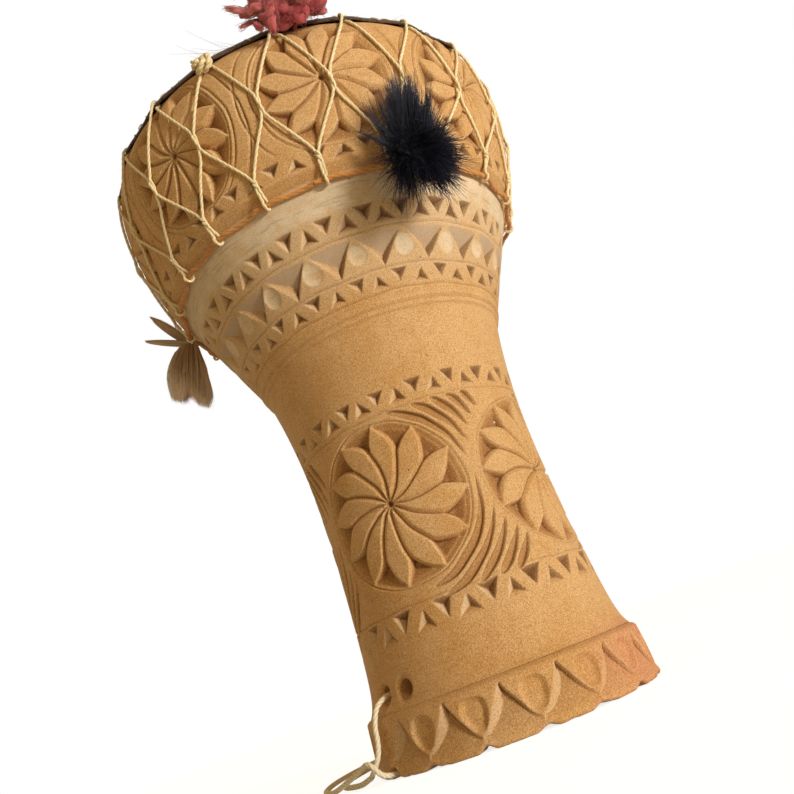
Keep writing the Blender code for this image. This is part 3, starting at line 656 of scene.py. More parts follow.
def carve_chips(angle, z, row):
    """Depth of a row of chips, with painted shade on the facets that face away from the key lamp and
    painted highlight on those that face it.
    """
    tall = climb(row.low, row.high) * CHIP_SHARE
    depth, painted_shade, pale = np.zeros_like(z), np.zeros_like(z), np.zeros_like(z)
    ways = ((row.first, row.up, climb(row.low, z), False),
            (row.first + math.pi / row.count, row.down, climb(z, row.high), True))
    for first, sink, above, hangs in ways:
        offset, number = cells(angle, first, row.count)
        chance = CHANCE[number * 5 + row.count]
        lean_by = (CHANCE[number * 3 + row.count + 7] - 0.5) * 0.3
        across = offset * outer(z) + lean_by * above
        chip, base = pyramid(across, above, row.half * (0.88 + 0.24 * chance), tall, 1.15)
        # Painted shade: the right facets, and the base facet of chips that hang, face away from the key
        # lamp.
        dark = (chip > 0.03) & np.where(base, hangs, across > 0)
        depth = np.maximum(depth, sink * (0.8 + 0.4 * chance) * chip)
        painted_shade = np.maximum(painted_shade, dark * (0.6 + 0.4 * chip))
        # Painted highlight on the left facets, which face the key lamp.
        pale = np.maximum(pale, (chip > 0.03) & ~base & (across < 0))
    return depth, painted_shade, 0.5 * pale


def carve_triangles(angle, z):
    """The collar's row: sunk triangles that point down, and dished ovals between them."""
    tall = climb(TRIANGLE_LOW, TRIANGLE_HIGH)
    half = math.pi * outer(TRIANGLE_HIGH) / TRIANGLES - 0.0007
    offset = cells(angle, TRIANGLE_ANGLE, TRIANGLES)[0]
    chip, base = pyramid(offset * outer(z), climb(z, TRIANGLE_HIGH), half, tall, 2.2, 1.9)
    side = (chip > 0.02) & ~base
    # Painted shade on the right facets, which face away from the key lamp.
    painted_shade = 0.75 * (side & (offset > 0))
    offset, number = cells(angle, TRIANGLE_ANGLE + math.pi / TRIANGLES, TRIANGLES)
    wide = 0.0029 + 0.0004 * CHANCE[number]
    far = np.hypot(offset * outer(z) / wide, climb(OVAL_HEIGHT, z) / (wide * 1.15))
    oval = np.clip(1 - far ** 2, 0, 1) ** 0.6
    depth = np.maximum(TRIANGLE_DEPTH * chip, OVAL_DEPTH * oval)
    # Pale ovals, and painted highlight on the left facets, which face the key lamp.
    dust_and_highlight = np.maximum(0.85 * ease(oval, 0.0, 0.3), 0.25 * (side & (painted_shade == 0)))
    # The upper facet, which faces down, takes the grey tone.
    return depth, painted_shade, dust_and_highlight, 0.9 * base


def carve_rosette(angle, z, rosette):
    """Petals with one broad bevel each, and chips between their tips that rise to a circle, with
    painted shade in those chips and in the centre pit.
    """
    across, up = from_centre(angle, z, rosette)
    far = np.hypot(across, up)
    share = far / rosette.size
    turn = (np.arctan2(up, across) + rosette.twist * share) * PETALS / FULL
    offset = turn - np.rint(turn)
    narrowing = np.clip((share - rosette.widest) / (1 - rosette.widest), 0, 1)
    petal = far * FULL / PETALS
    edge = (0.5 * (1 - narrowing ** rosette.curve) - np.abs(offset)) * petal
    to_circle = (1 - share) * rosette.size
    groove = rosette.groove * np.clip(to_circle / GROOVE_FADE, 0, 1)
    chip = rosette.ground * np.clip(to_circle / GROUND_FADE, 0, 1)
    bevel = np.where(offset < 0, rosette.bevel, BACK_BEVEL)
    slope = groove * np.clip(1 - edge / bevel, 0, 1)
    drop = groove + (np.maximum(chip, groove) - groove) * np.clip(-edge / 0.0004, 0, 1)
    depth = np.where(edge > 0, slope, drop) * np.clip(to_circle / 0.0003, 0, 1)
    circle = CIRCLE_DEPTH * np.clip(1 - np.abs(to_circle) / 0.0004, 0, 1)
    pit = np.clip(1 - (far / PETAL_PIT) ** 2, 0, 1)
    # Painted shade in the chips between the petal tips, and below in the centre pit.
    painted_shade = 0.45 * np.clip(-edge / 0.0006, 0, 1) * np.clip(to_circle / 0.0035, 0, 1)
    depth = np.maximum(np.maximum(depth, circle), PETAL_PIT_DEPTH * pit)
    return depth, np.maximum(painted_shade, pit)


def carve_crescents(angle, z, rosette):
    """A second circle and bowed steps on both sides of a bowl rosette."""
    across, up = from_centre(angle, z, rosette)
    far = np.hypot(across, up)
    swing = np.abs(np.arctan2(up, np.abs(across)))
    depth = np.zeros_like(z)
    for gap, reach, sink in ((0.0017, 1.3, 0.0007), (0.0064, 0.75, 0.0009)):
        taper = np.clip(1 - (swing / reach) ** 2, 0, 1) ** 0.5
        past = far - rosette.size - gap
        line = np.where(past < 0, 1 + past / 0.0007, 1 - past / 0.0003)
        depth = np.maximum(depth, sink * np.clip(line, 0, 1) * taper)
    return depth


def carve_leaves(angle, z, rosette, following):
    """Leaf-shaped gouges right of a stem rosette, above and below the next one's side, with painted
    shade in them.
    """
    across, up = from_centre(angle, z, rosette)
    far = np.hypot(across, up)
    swing = np.arctan2(up, across)
    gap = np.remainder(following.angle - rosette.angle, FULL) * WAIST_RADIUS
    lowest = climb(rosette.height, LOWER_STEM_CHIPS.high) - 0.0003
    highest = climb(rosette.height, UPPER_STEM_CHIPS.low) - 0.0018
    ways = np.linspace(-1.4, 1.4, 561)
    depth = np.zeros_like(z)
    for number in range(LEAVES):
        radius = rosette.size + 0.0026 + LEAF_PITCH * number
        x, y = radius * np.cos(ways), radius * np.sin(ways)
        free = (y > lowest) & (y < highest) & (x < gap - 0.004)
        free &= np.hypot(x - gap, y) > following.size + 0.0013
        for side, stretch in ((-1, ways < 0.05), (1, ways > 0.16)):
            clear = ways[free & stretch]
            if len(clear) < 8:
                continue
            share = np.clip((swing - clear[0]) / (clear[-1] - clear[0]), 0, 1)
            share = share if side < 0 else 1 - share
            wide = LEAF_WIDTH * np.sin(math.pi * share ** 0.6) ** 0.8 + 1e-7
            past = (far - radius) / wide + 0.5
            walls = np.minimum(past * wide / 0.0003, (1 - past) * wide / 0.0004)
            floor = np.clip(walls, 0, 1) * (0.65 + 0.35 * past)
            depth = np.maximum(depth, LEAF_DEPTH * floor * (wide / LEAF_WIDTH) ** 0.5)
    # Painted shade, darker where the gouges are deeper.
    return depth, 0.26 * np.clip(depth / (0.6 * LEAF_DEPTH), 0, 1)


def carve_foot(angle, z):
    """Raised teeth that point down, each with a dished shield, on a sunk ground, with painted shade on
    the ground and painted highlight on the wall right of each tooth.
    """
    offset, number = cells(angle, TOOTH_ANGLE, TEETH)
    across = offset * FOOT_RADIUS
    pitch = FULL * FOOT_RADIUS / TEETH
    rise = np.clip((z - TOOTH_TIP) / (TOOTH_TOP - TOOTH_TIP), 0, 1)
    outside = (np.abs(across) - pitch / 2 * rise ** 0.82) * 0.8
    facet = 0.0004 + 0.0020 * np.sin(math.pi * rise) ** 0.7
    wall = np.where(across > 0, facet, 0.0004)
    fade = np.clip((z - 0.0016) / 0.0085, 0, 1) ** 0.7
    ground = FOOT_GROUND_DEPTH * np.clip(outside / wall, 0, 1) * fade
    middle = 0.0104 + 0.0006 * (CHANCE[number + 40] - 0.5)
    high = (z - middle) / np.where(z > middle, 0.0036, 0.0056)
    wide = 0.0039 * np.where(z > middle, 1, 1 + 0.25 * high)
    far = np.abs(across / wide) ** 2.6 + np.abs(high) ** 2.6
    depth = np.maximum(ground, SHIELD_DEPTH * np.clip(1.5 * (1 - far), 0, 1) ** 0.8)
    sunk = ground / FOOT_GROUND_DEPTH
    # Painted shade on the sunk ground; painted highlight on the wall right of each tooth, which faces
    # the key lamp.
    painted_shade = 0.4 * (outside > wall) * sunk
    return depth, painted_shade, 0.4 * ((outside > 0) & (outside < wall) & (across > 0))


def carving(angle, z):
    """Depth of the carving at each angle and height, its dust with painted highlights, its grey facets
    and its painted shade.
    """
    low, high = z.min(), z.max()
    aside = BROAD_SLIP * np.sin(9 * angle + 260 * z) + FINE_SLIP * np.sin(23 * angle - 400 * z + 1.1)
    drift = BROAD_SLIP * np.sin(7 * angle + 2.0) + FINE_SLIP * np.sin(17 * angle + 330 * z)
    there = angle + aside / outer(z)
    height = z + drift * (z > FOOT_BAND_HEIGHT)
    plain = np.zeros_like(z)
    grey = plain
    cuts = [carve_chips(there, height, row) for row in CHIP_ROWS if row.low < high and row.high > low]
    if TRIANGLE_LOW < high and TRIANGLE_HIGH > low:
        *triangles, grey = carve_triangles(there, height)
        cuts.append(triangles)
    if high > SHOULDER_TOP:
        on_bowl = height > BOWL_CARVING_LOW
        for rosette in BOWL_ROSETTES:
            cut, dark = carve_rosette(there, height, rosette)
            near = np.maximum(cut, carve_crescents(there, height, rosette))
            cuts.append((near * on_bowl, dark * on_bowl, plain))
    if low < NECK_HEIGHT and high > LOWER_STEM_CHIPS.high:
        for rosette, following in zip(STEM_ROSETTES, STEM_ROSETTES[1:] + STEM_ROSETTES[:1]):
            cuts.append((*carve_rosette(there, height, rosette), plain))
            cuts.append((*carve_leaves(there, height, rosette, following), plain))
    for line in SCRIBED_LINES:
        scribed = SCRIBED_DEPTH * np.clip(1 - np.abs(height - line) / SCRIBED_DEPTH, 0, 1)
        cuts.append((scribed, plain, plain))
    depth, painted_shade, dust_and_highlight = (np.maximum.reduce(layers) for layers in zip(*cuts))
    if low < FOOT_BAND_HEIGHT:
        # On the foot: painted shade on the sunk ground, painted highlight on the walls that face the
        # key lamp.
        cut, dark, pale = carve_foot(there, z)
        depth = np.where(z < FOOT_BAND_HEIGHT, cut, depth)
        painted_shade = np.where(z < FOOT_BAND_HEIGHT, dark, painted_shade)
        dust_and_highlight = np.where(z < FOOT_BAND_HEIGHT, pale, dust_and_highlight)
    for hole in HOLE_ANGLES:
        past = np.hypot(wrapped(angle - hole) * ANKLE_RADIUS, z - HOLE_HEIGHT) - HOLE_DIAMETER / 2
        depth = np.maximum(depth, HOLE_DISH * np.clip(1 - past / HOLE_FLARE, 0, 1) ** 2)
    bead = (z - NECK_HEIGHT) / BEAD_PITCH
    beads = np.where((bead > 0) & (bead < BEADS), np.sin(math.pi * bead) ** 2, 0)
    band = sum(share * ease(z, low, high) for share, low, high in DUST_BANDS)
    band = band * (1 - ease(z, SHOULDER_HEIGHT - 0.0002, SHOULDER_HEIGHT)) * (1 - 0.8 * painted_shade)
    return depth - BEAD_RISE * beads, {"dust_and_highlight": np.maximum(dust_and_highlight, band), "grey": grey, "painted_shade": painted_shade}


def settled(form, name):
    """A new mesh with the faces of a form, which is let go."""
    mesh = bpy.data.meshes.new(name)
    form.to_mesh(mesh)
    form.free()
    return mesh


def add_mark(mesh, name, values):
    """Stores a value at each vertex, which the materials read by its name."""
    mark = mesh.attributes.new(name, "FLOAT", "POINT")
    mark.data.foreach_set("value", values.astype(np.float32))


def sheet(name, places, normals, marks, round_rows=False):
    """A mesh of a grid laid on places (rows x columns x 3). Its columns go round, its rows if asked."""
    rows, columns = places.shape[:2]
    tall = rows if round_rows else rows - 1
    form = bmesh.new()
    bmesh.ops.create_grid(form, x_segments=columns, y_segments=tall, size=1)
    mesh = bpy.data.meshes.new(name)
    form.to_mesh(mesh)
    flat = np.empty(len(mesh.vertices) * 3, dtype=np.float32)
    mesh.vertices.foreach_get("co", flat)
    flat = flat.reshape(-1, 3)
    column = np.rint((flat[:, 0] + 1) / 2 * columns).astype(int) % columns
    row = np.rint((flat[:, 1] + 1) / 2 * tall).astype(int) % rows
    mesh.vertices.foreach_set("co", places[row, column].astype(np.float32).ravel())
    for key, values in marks.items():
        add_mark(mesh, key, values[row, column])
    if normals is not None:
        lie = mesh.attributes.new("lie", "FLOAT_VECTOR", "POINT")
        lie.data.foreach_set("vector", normals[row, column].astype(np.float32).ravel())
    form.clear()
    form.from_mesh(mesh)
    bmesh.ops.remove_doubles(form, verts=form.verts[:], dist=0.0000005)
    bmesh.ops.recalc_face_normals(form, faces=form.faces[:])
    form.to_mesh(mesh)
    form.free()
    mesh.shade_smooth()
    if normals is not None:
        lie = np.empty(len(mesh.vertices) * 3, dtype=np.float32)
        mesh.attributes["lie"].data.foreach_get("vector", lie)
        mesh.attributes.remove(mesh.attributes["lie"])
        mesh.normals_split_custom_set_from_vertices(lie.reshape(-1, 3).tolist())
    return mesh


def turned_grid(section, angles, depth, lift=None):
    """Places and normals of a turned section (rows x 2) that is cut in by depth."""
    run = np.gradient(section, axis=0)
    out = unit(np.stack((run[:, 1], -run[:, 0]), axis=1))
    radius = section[:, :1] - depth * out[:, :1]
    height = section[:, 1:] - depth * out[:, 1:]
    if lift is not None:
        height = height + lift
    places = polar(radius, angles[None, :], height)
    across = np.roll(places, -1, axis=1) - np.roll(places, 1, axis=1)
    return places, unit(np.cross(across, np.gradient(places, axis=0)))


def clay_marks(depth, marks, angles, heights):
    """Adds to the marks how deep and creased the clay is, which the material turns into painted shade
    in cuts and creases and into worn edges, and how pink it is.
    """
    soft = depth
    for _ in range(2):
        around = (np.roll(soft, 1, axis=1) + soft + np.roll(soft, -1, axis=1)) / 3
        padded = np.pad(around, ((1, 1), (0, 0)), mode="edge")
        soft = (padded[:-2] + padded[1:-1] + padded[2:]) / 3
    angle, height = np.meshgrid(angles, heights)
    turn = wrapped(angle)
    side = ease(turn + 12 * np.clip(0.006 - height, 0, 1), 0.35, 0.95) * (1 - ease(turn, 1.6, 2.4))
    blush = side * (1 - ease(height, FOOT_BAND_HEIGHT - 0.002, FOOT_BAND_HEIGHT + 0.008))
    tint_amount = np.where(height < FOOT_BAND_HEIGHT, 0.45, 1.0)
    # cut is the share of painted shade in the cuts, weaker on the foot.
    return marks | {"cut": np.clip(depth / 0.0016, 0, 1) * tint_amount, "blush": blush,
                    # crease: hollower than around it gives painted shade, prouder gives worn edges.
                    "crease": np.clip((depth - soft) / 0.0004, -1, 1)}


def clay_band(low, band, look):
    """Angles, places, normals and marks of the carved clay from a height up to a band's top."""
    fine = np.linspace(low, band.high, 400)
    length = climb(low, band.high)
    count = max(2, round(length / band.step))
    heights = np.interp(np.arange(count + 1) / count, climb(low, fine) / length, fine)
    below, above = 2 * heights[0] - heights[1], 2 * heights[-1] - heights[-2]
    heights = np.concatenate(([below], heights, [above]))
    angles = np.arange(band.columns) * FULL / band.columns
    angle, z = np.meshgrid(angles, heights)
    depth, marks = carving(angle, z)
    depth = depth * look.depth
    section = np.stack((outer(heights), heights), axis=1)
    places, normals = turned_grid(section, angles, depth)
    marks = clay_marks(depth, marks, angles, heights)
    return angles, places[1:-1], normals[1:-1], {key: mark[1:-1] for key, mark in marks.items()}


def inner_rows(high, low, angles, count):
    heights = np.linspace(high, low, count)
    section = np.stack((inner(heights), heights), axis=1)
    return turned_grid(section, angles, np.zeros((count, 1)))


def closed_ring(name, places, normals, marks, wall):
    """Joins a carved outside to an inner wall, as one closed ring."""
    inside, facing = wall
    plain = {key: np.zeros(inside.shape[:2]) for key in marks}
    every = {key: np.concatenate((marks[key], plain[key])) for key in marks}
    lie = None if normals is None else np.concatenate((normals, facing))
    return sheet(name, np.concatenate((places, inside)), lie, every, round_rows=True)


def cut_holes(mesh, name):
    """Bores the two cord holes through the wall above the foot."""
    form = bmesh.new()
    for angle in HOLE_ANGLES:
        middle = Vector(polar(ANKLE_RADIUS - WALL / 2, angle, HOLE_HEIGHT))
        turn = Matrix.Rotation(FRONT + angle, 4, "Z") @ Matrix.Rotation(math.pi / 2, 4, "Y")
        bmesh.ops.create_cone(form, cap_ends=True, segments=40, radius1=HOLE_DIAMETER / 2,
                              radius2=HOLE_DIAMETER / 2, depth=3 * WALL,
                              matrix=Matrix.Translation(middle) @ turn)
    drill_mesh = settled(form, "drill")
    drill = bpy.data.objects.new("drill", drill_mesh)
    blank = bpy.data.objects.new("blank", mesh)
    for thing in (drill, blank):
        bpy.context.scene.collection.objects.link(thing)
    boolean = blank.modifiers.new("Holes", "BOOLEAN")
    boolean.operation = "DIFFERENCE"
    boolean.solver = "EXACT"
    boolean.object = drill
    seen = blank.evaluated_get(bpy.context.evaluated_depsgraph_get())
    bored = bpy.data.meshes.new_from_object(seen)
    for thing in (drill, blank):
        bpy.data.objects.remove(thing, do_unlink=True)
    for spent in (drill_mesh, mesh):
        bpy.data.meshes.remove(spent)
    bored.name = name
    bored.set_sharp_from_angle(angle=math.radians(45))
    return bored


def looped(rows):
    """Rows of a closed section, with its last row set before the first and its first after the last."""
    return np.concatenate((rows[-1:], rows, rows[:1]))


def foot_ring(columns, look):
    """The carved foot with its rounded, chipped lower edge."""
    angles = np.arange(columns) * FULL / columns
    rim = 0.0011
    outside = [(outer(z), z) for z in np.linspace(rim, FOOT_BAND_HEIGHT - 0.0008, 44)]
    top = [(FOOT_RADIUS - FOOT_BAND_TAPER - 0.0003, FOOT_BAND_HEIGHT - 0.0003),
           (FOOT_RADIUS - FOOT_BAND_TAPER - 0.0008, FOOT_BAND_HEIGHT + 0.0001),
           (outer(ANKLE_START) + 0.0002, FOOT_BAND_HEIGHT + 0.0004),
           (outer(ANKLE_START), ANKLE_START)]
    inside = [(inner(z), z) for z in np.linspace(ANKLE_START - 0.0002, rim, 9)]
    corner = [(inner(rim) + rim * (1 - math.cos(a)), rim * (1 - math.sin(a)))
              for a in np.linspace(0.3, math.pi / 2, 4)]
    under = [(r, 0.0) for r in np.linspace(inner(rim) + 2 * rim, FOOT_RADIUS - 2 * rim, 4)]
    turn = [(FOOT_RADIUS - rim * (1 - math.sin(a)), rim * (1 - math.cos(a)))
            for a in np.linspace(0, math.pi / 2 - 0.25, 5)]
    section = np.array(outside + top + inside + corner + under + turn)
    carved = np.zeros(len(section))
    carved[:len(outside)] = 1
    carved[-len(turn):] = 1
    angle, z = np.meshgrid(angles, section[:, 1])
    depth, marks = carving(angle, z)
    depth = depth * carved[:, None] * look.depth
    marks = {key: mark * carved[:, None] for key, mark in marks.items()}
    offset, number = cells(angle, TOOTH_ANGLE, TEETH)
    across = np.abs(offset) * FOOT_RADIUS
    scallop = 0.0007 + 0.0005 * CHANCE[number + 90]
    wide = 0.0030 + 0.0012 * CHANCE[number + 130]
    notch = scallop * (0.5 + 0.5 * np.cos(math.pi * np.clip(across / wide, 0, 1)))
    cord_notch = NOTCH_RADIUS * np.sqrt(np.clip(1 - (across / NOTCH_RADIUS) ** 2, 0, 1))
    notch = np.where(number == 0, cord_notch, notch)
    chips = 0.00035 * np.clip(np.sin(31 * angle + 2) * np.sin(12.7 * angle), 0, 1)
    share = np.clip(1 - z / SCALLOP_REACH, 0, 1)
    lift = (notch + chips) * share
    places, normals = turned_grid(looped(section), angles, looped(depth), looped(lift))
    marks = clay_marks(depth, marks, angles, section[:, 1])
    return sheet("carved_foot", places[1:-1], normals[1:-1], marks, round_rows=True)


def lip_rows(angles):
    """The rounded lip, from the outer side over the top to the inner side."""
    turns = np.linspace(0.15, math.pi, 10)
    section = np.stack((RIM_RADIUS - LIP_RADIUS + LIP_RADIUS * np.cos(turns),
                        LIP_HEIGHT + LIP_RADIUS * np.sin(turns)), axis=1)
    return turned_grid(section, angles, np.zeros((len(turns), 1)))


class ClayBand(NamedTuple):
    """A ring of the body up to a height: the step and columns of its mesh, and rows on its inside."""
    name: str
    high: float
    step: float
    columns: int
    inner_count: int


CLAY_BANDS = (
    ClayBand("plain_ankle", 0.0326, 0.0006, 460, 6),
    ClayBand("lower_stem", 0.0700, 0.00033, 760, 5),
    ClayBand("upper_stem", 0.1070, 0.00033, 760, 5),
    ClayBand("beaded_neck", 0.1326, 0.00045, 420, 5),
    ClayBand("carved_collar", 0.1590, 0.00036, 960, 4),
    ClayBand("pale_band", SHOULDER_HEIGHT, 0.0006, 480, 4),
    ClayBand("lower_bowl", 0.1850, 0.00036, 1240, 4),
    ClayBand("middle_bowl", 0.2040, 0.00036, 1240, 4),
    ClayBand("upper_bowl", LIP_HEIGHT, 0.00036, 1240, 4),
)


class DRUM_OT_clay(bpy.types.Operator):
    """Turns and carves the clay body, in rings from the foot to the lip"""
    bl_idname = "drum.clay"
    bl_label = "Carved clay body"

    def execute(self, context):
        look = context.scene.drum_clay
        material = clay_material(look)
        meshes = [foot_ring(720, look)]
        low = ANKLE_START
        for band in CLAY_BANDS:
            angles, places, normals, marks = clay_band(low, band, look)
            inside, facing = inner_rows(band.high, low, angles, band.inner_count)
            if band.high == LIP_HEIGHT:
                over, upward = lip_rows(angles)
                inside = np.concatenate((over, inside[1:]))
                facing = np.concatenate((upward, facing[1:]))
            bored = low < HOLE_HEIGHT < band.high
            mesh = closed_ring(band.name, places, None if bored else normals, marks, (inside, facing))
            if bored:
                mesh = cut_holes(mesh, band.name)
            meshes.append(mesh)
            low = band.high
        for mesh in meshes:
            place_on(mesh, material, "drum", "clay", "clay_body")
        return {"FINISHED"}


def lip_point(angle, radius):
    centre = RIM_RADIUS - LIP_RADIUS
    return centre + radius * math.cos(angle), LIP_HEIGHT + radius * math.sin(angle)


def lap_point(share, off):
    """A point on the lap's inner face, from the lip down to its edge, moved outward by off."""
    start = Vector(lip_point(LAP_TOP_ANGLE, LIP_RADIUS + CLEARANCE))
    end = Vector((float(outer(LAP_BOTTOM)) + LAP_STANDOFF, LAP_BOTTOM))
    along = Vector((math.sin(LAP_TOP_ANGLE), -math.cos(LAP_TOP_ANGLE)))
    bend = start + along * ((end.x - start.x - LAP_FULLNESS) / along.x)
    here = start * (1 - share) ** 2 + bend * 2 * share * (1 - share) + end * share ** 2
    run = ((bend - start) * (1 - share) + (end - bend) * share).normalized()
    return here.x - run.y * off, here.y + run.x * off


def lace_angle(number):
    even = LACE_START + number * FULL / LACES
    return even - LACE_DRIFT * math.sin(even)


def beside_lace(angles):
    """Angle from each place to the nearest lacing point."""
    points = np.array([lace_angle(n) for n in range(LACES)])
    return np.abs(wrapped(np.asarray(angles)[..., None] - points)).min(axis=-1)


def between_laces(angles):
    """0 at a lacing point, and 1 well away from it."""
    return ease(beside_lace(angles), 0.03, 0.13)


def lap_pull(angles):
    """How far the lap is drawn in to the clay between the laces. The red tassel's tie holds it off."""
    tie = hinge_frame("red_swing").translation
    loose = math.atan2(tie.y, tie.x) - FRONT
    away = np.abs(wrapped(np.asarray(angles) - loose))
    return LAP_HUG * between_laces(angles) * ease(away, 0.3 * LAP_LOOSE_ANGLE, LAP_LOOSE_ANGLE)


def skin_mesh():
    """The head, its lap over the rim, and the lap's inner face."""
    columns = 360
    angles = np.arange(columns) * FULL / columns
    top = BODY_HEIGHT + CLEARANCE
    over = np.linspace(math.pi / 2, LAP_TOP_ANGLE, 5)
    shares = np.linspace(0, 1, 16)
    reach = RIM_RADIUS - LIP_RADIUS
    head = [(r, top + SKIN) for r in np.linspace(0, reach, 26)[:-1]]
    outer_face = [lip_point(a, LIP_RADIUS + CLEARANCE + SKIN) for a in over]
    outer_face += [lap_point(s, SKIN) for s in shares[1:]]
    inner_face = [lap_point(s, 0) for s in shares[:0:-1]]
    inner_face += [lip_point(a, LIP_RADIUS + CLEARANCE) for a in over[::-1]]
    under = [(r, top) for r in np.linspace(reach, 0, 6)[1:]]
    section = np.array(head + outer_face + inner_face + under)
    hang = [0] * (len(head) + len(over)) + list(shares[1:]) + list(shares[:0:-1])
    hang = np.array(hang + [0] * (len(section) - len(hang)))[:, None]
    away = between_laces(angles)[None, :]
    wave = np.sin(13 * angles + 1) + 0.7 * np.sin(29 * angles + 0.4) + 0.5 * np.sin(47 * angles)
    ragged = 0.0006 * away + 0.00018 * wave[None, :]
    height = section[:, 1:] + hang ** 2 * (ragged - 0.0003 * (1 - away))
    follow = outer(height) - outer(section[:, 1:])
    radius = section[:, :1] + hang * (0.00005 * wave[None, :] - lap_pull(angles)[None, :] + follow)
    dish = 0.00025 * np.sin(3 * angles + 0.5)[None, :] * (section[:, :1] / reach) ** 2
    height = height + dish * (hang == 0) * (section[:, :1] < reach * 0.97)
    edge = np.concatenate((np.linspace(0, 0.12, len(head)), np.full(len(over), 0.2)))
    lap = np.concatenate((edge, np.ones(len(section) - len(edge))))
    return sheet("skin_head", polar(radius, angles[None, :], height), None,
                 {"lap": np.repeat(lap[:, None], columns, axis=1)})


def hair_template(levels, sides):
    """An open tube, and the level and corner of each of its vertices."""
    form = bmesh.new()
    bmesh.ops.create_cone(form, cap_ends=False, segments=sides, radius1=1, radius2=1, depth=2)
    long_edges = [e for e in form.edges if abs(e.verts[0].co.z - e.verts[1].co.z) > 1]
    bmesh.ops.subdivide_edges(form, edges=long_edges, cuts=levels - 2, use_grid_fill=True)
    bmesh.ops.recalc_face_normals(form, faces=form.faces[:])
    mesh = settled(form, "hair_template")
    level = np.array([round((v.co.z + 1) / 2 * (levels - 1)) for v in mesh.vertices])
    corner = np.array([math.atan2(v.co.y, v.co.x) for v in mesh.vertices])
    return mesh, level, corner


def strands(name, spines, radii, tones, sides=3, facing=None, flat=1.0):
    """Hairs or locks along spines (count x levels x 3), as thick as radii, with a tone each.

    A flat value below 1 thins them along facing, which has a direction for each.
    """
    count, levels = spines.shape[:2]
    template, level, corner = hair_template(levels, sides)
    form = bmesh.new()
    for _ in range(count):
        form.from_mesh(template)
    mesh = settled(form, name)
    bpy.data.meshes.remove(template)
    run = unit(np.gradient(spines, axis=1))
    if facing is None:
        facing = np.random.default_rng(5).normal(size=(count, 3))
    side = unit(np.cross(run, facing[:, None]))
    other = np.cross(run, side)
    ring = np.cos(corner)[None, :, None] * side[:, level]
    ring = ring + flat * np.sin(corner)[None, :, None] * other[:, level]
    places = spines[:, level] + ring * radii[:, level, None]
    mesh.vertices.foreach_set("co", places.astype(np.float32).ravel())
    add_mark(mesh, "along", np.tile(level / (levels - 1), count))
    add_mark(mesh, "lock", np.repeat(tones, len(level)))
    mesh.update()
    mesh.shade_smooth()
    return mesh


def lap_stitches(count):
    """Short cream stitches along the lap, uneven as if sewn by hand."""
    rng = np.random.default_rng(21)
    levels = 6
    angles = (np.arange(count) + rng.uniform(-0.25, 0.25, count)) * FULL / count
    spines = []
    for angle in angles:
        share = 0.72 + 0.1 * rng.random()
        long = rng.uniform(0.0012, 0.0024)
        slant = rng.uniform(-0.10, 0.17)
        points = []
        for t in np.linspace(-1, 1, levels):
            radius, height = lap_point(share + slant * t, SKIN + 0.00015 * (1 - t * t))
            there = angle + t * long / 2 / radius
            radius = radius - (share + slant * t) * float(lap_pull(there))
            points.append(polar(radius, there, height))
        spines.append(points)
    radii = np.full((count, levels), STITCH_RADIUS)
    return strands("lap_stitches", np.array(spines), radii, rng.random(count))


def lap_whiskers():
    """Fine grey hairs left on the skin's edge."""
    rng = np.random.default_rng(33)
    count, longer = 44, 10
    levels = 6
    spines = []
    for number in range(count):
        by_tassel = number < longer
        angle = math.radians(rng.uniform(-15, -6)) if by_tassel else rng.uniform(0, FULL)
        share = rng.uniform(0.25, 0.9)
        radius, height = lap_point(share, SKIN)
        radius = radius - share * float(lap_pull(angle))
        length = rng.uniform(0.004, 0.016 if by_tassel else 0.004)
        way = np.array([rng.uniform(0.1, 0.6), rng.uniform(-1.2, -0.3), rng.uniform(-0.1, 0.7)])
        if not by_tassel:
            way = rng.normal(size=3) * (0.3, 1, 0.5) + (0.3, 0, -0.2)
        way = way / np.linalg.norm(way) * length
        steps = np.linspace(0, 1, levels)[:, None]
        points = np.array([radius, 0, height]) + way * steps + (0, 0, 0.15 * length) * steps ** 2
        spines.append(polar(points[:, 0], angle + points[:, 1] / radius, points[:, 2]))
    radii = np.linspace(0.00005, 0.00002, levels)[None, :] * np.ones((count, 1))
    return strands("lap_whiskers", np.array(spines), radii, rng.random(count))


class DRUM_OT_skin(bpy.types.Operator):
    """Stretches the skin head over the rim, with its stitches and stray hairs"""
    bl_idname = "drum.skin"
    bl_label = "Skin head"

    def execute(self, context):
        look = context.scene.drum_skin
        cords = context.scene.drum_cords
        place_on(skin_mesh(), skin_material(look), "drum", "skin", "drum_skin")
        thread = hair_material("stitch_thread", cords.cotton, cords.cotton, tone(196, 170, 122),
                               rough=0.85, sheen=0.2)
        place_on(lap_stitches(look.stitches), thread, "drum", "skin", "drum_skin")
        grey = hair_material("grey_hair", tone(150, 140, 130), tone(206, 200, 194), tone(110, 100, 92),
                             rough=0.6, sheen=0.1)
        place_on(lap_whiskers(), grey, "drum", "skin", "drum_skin")
        return {"FINISHED"}


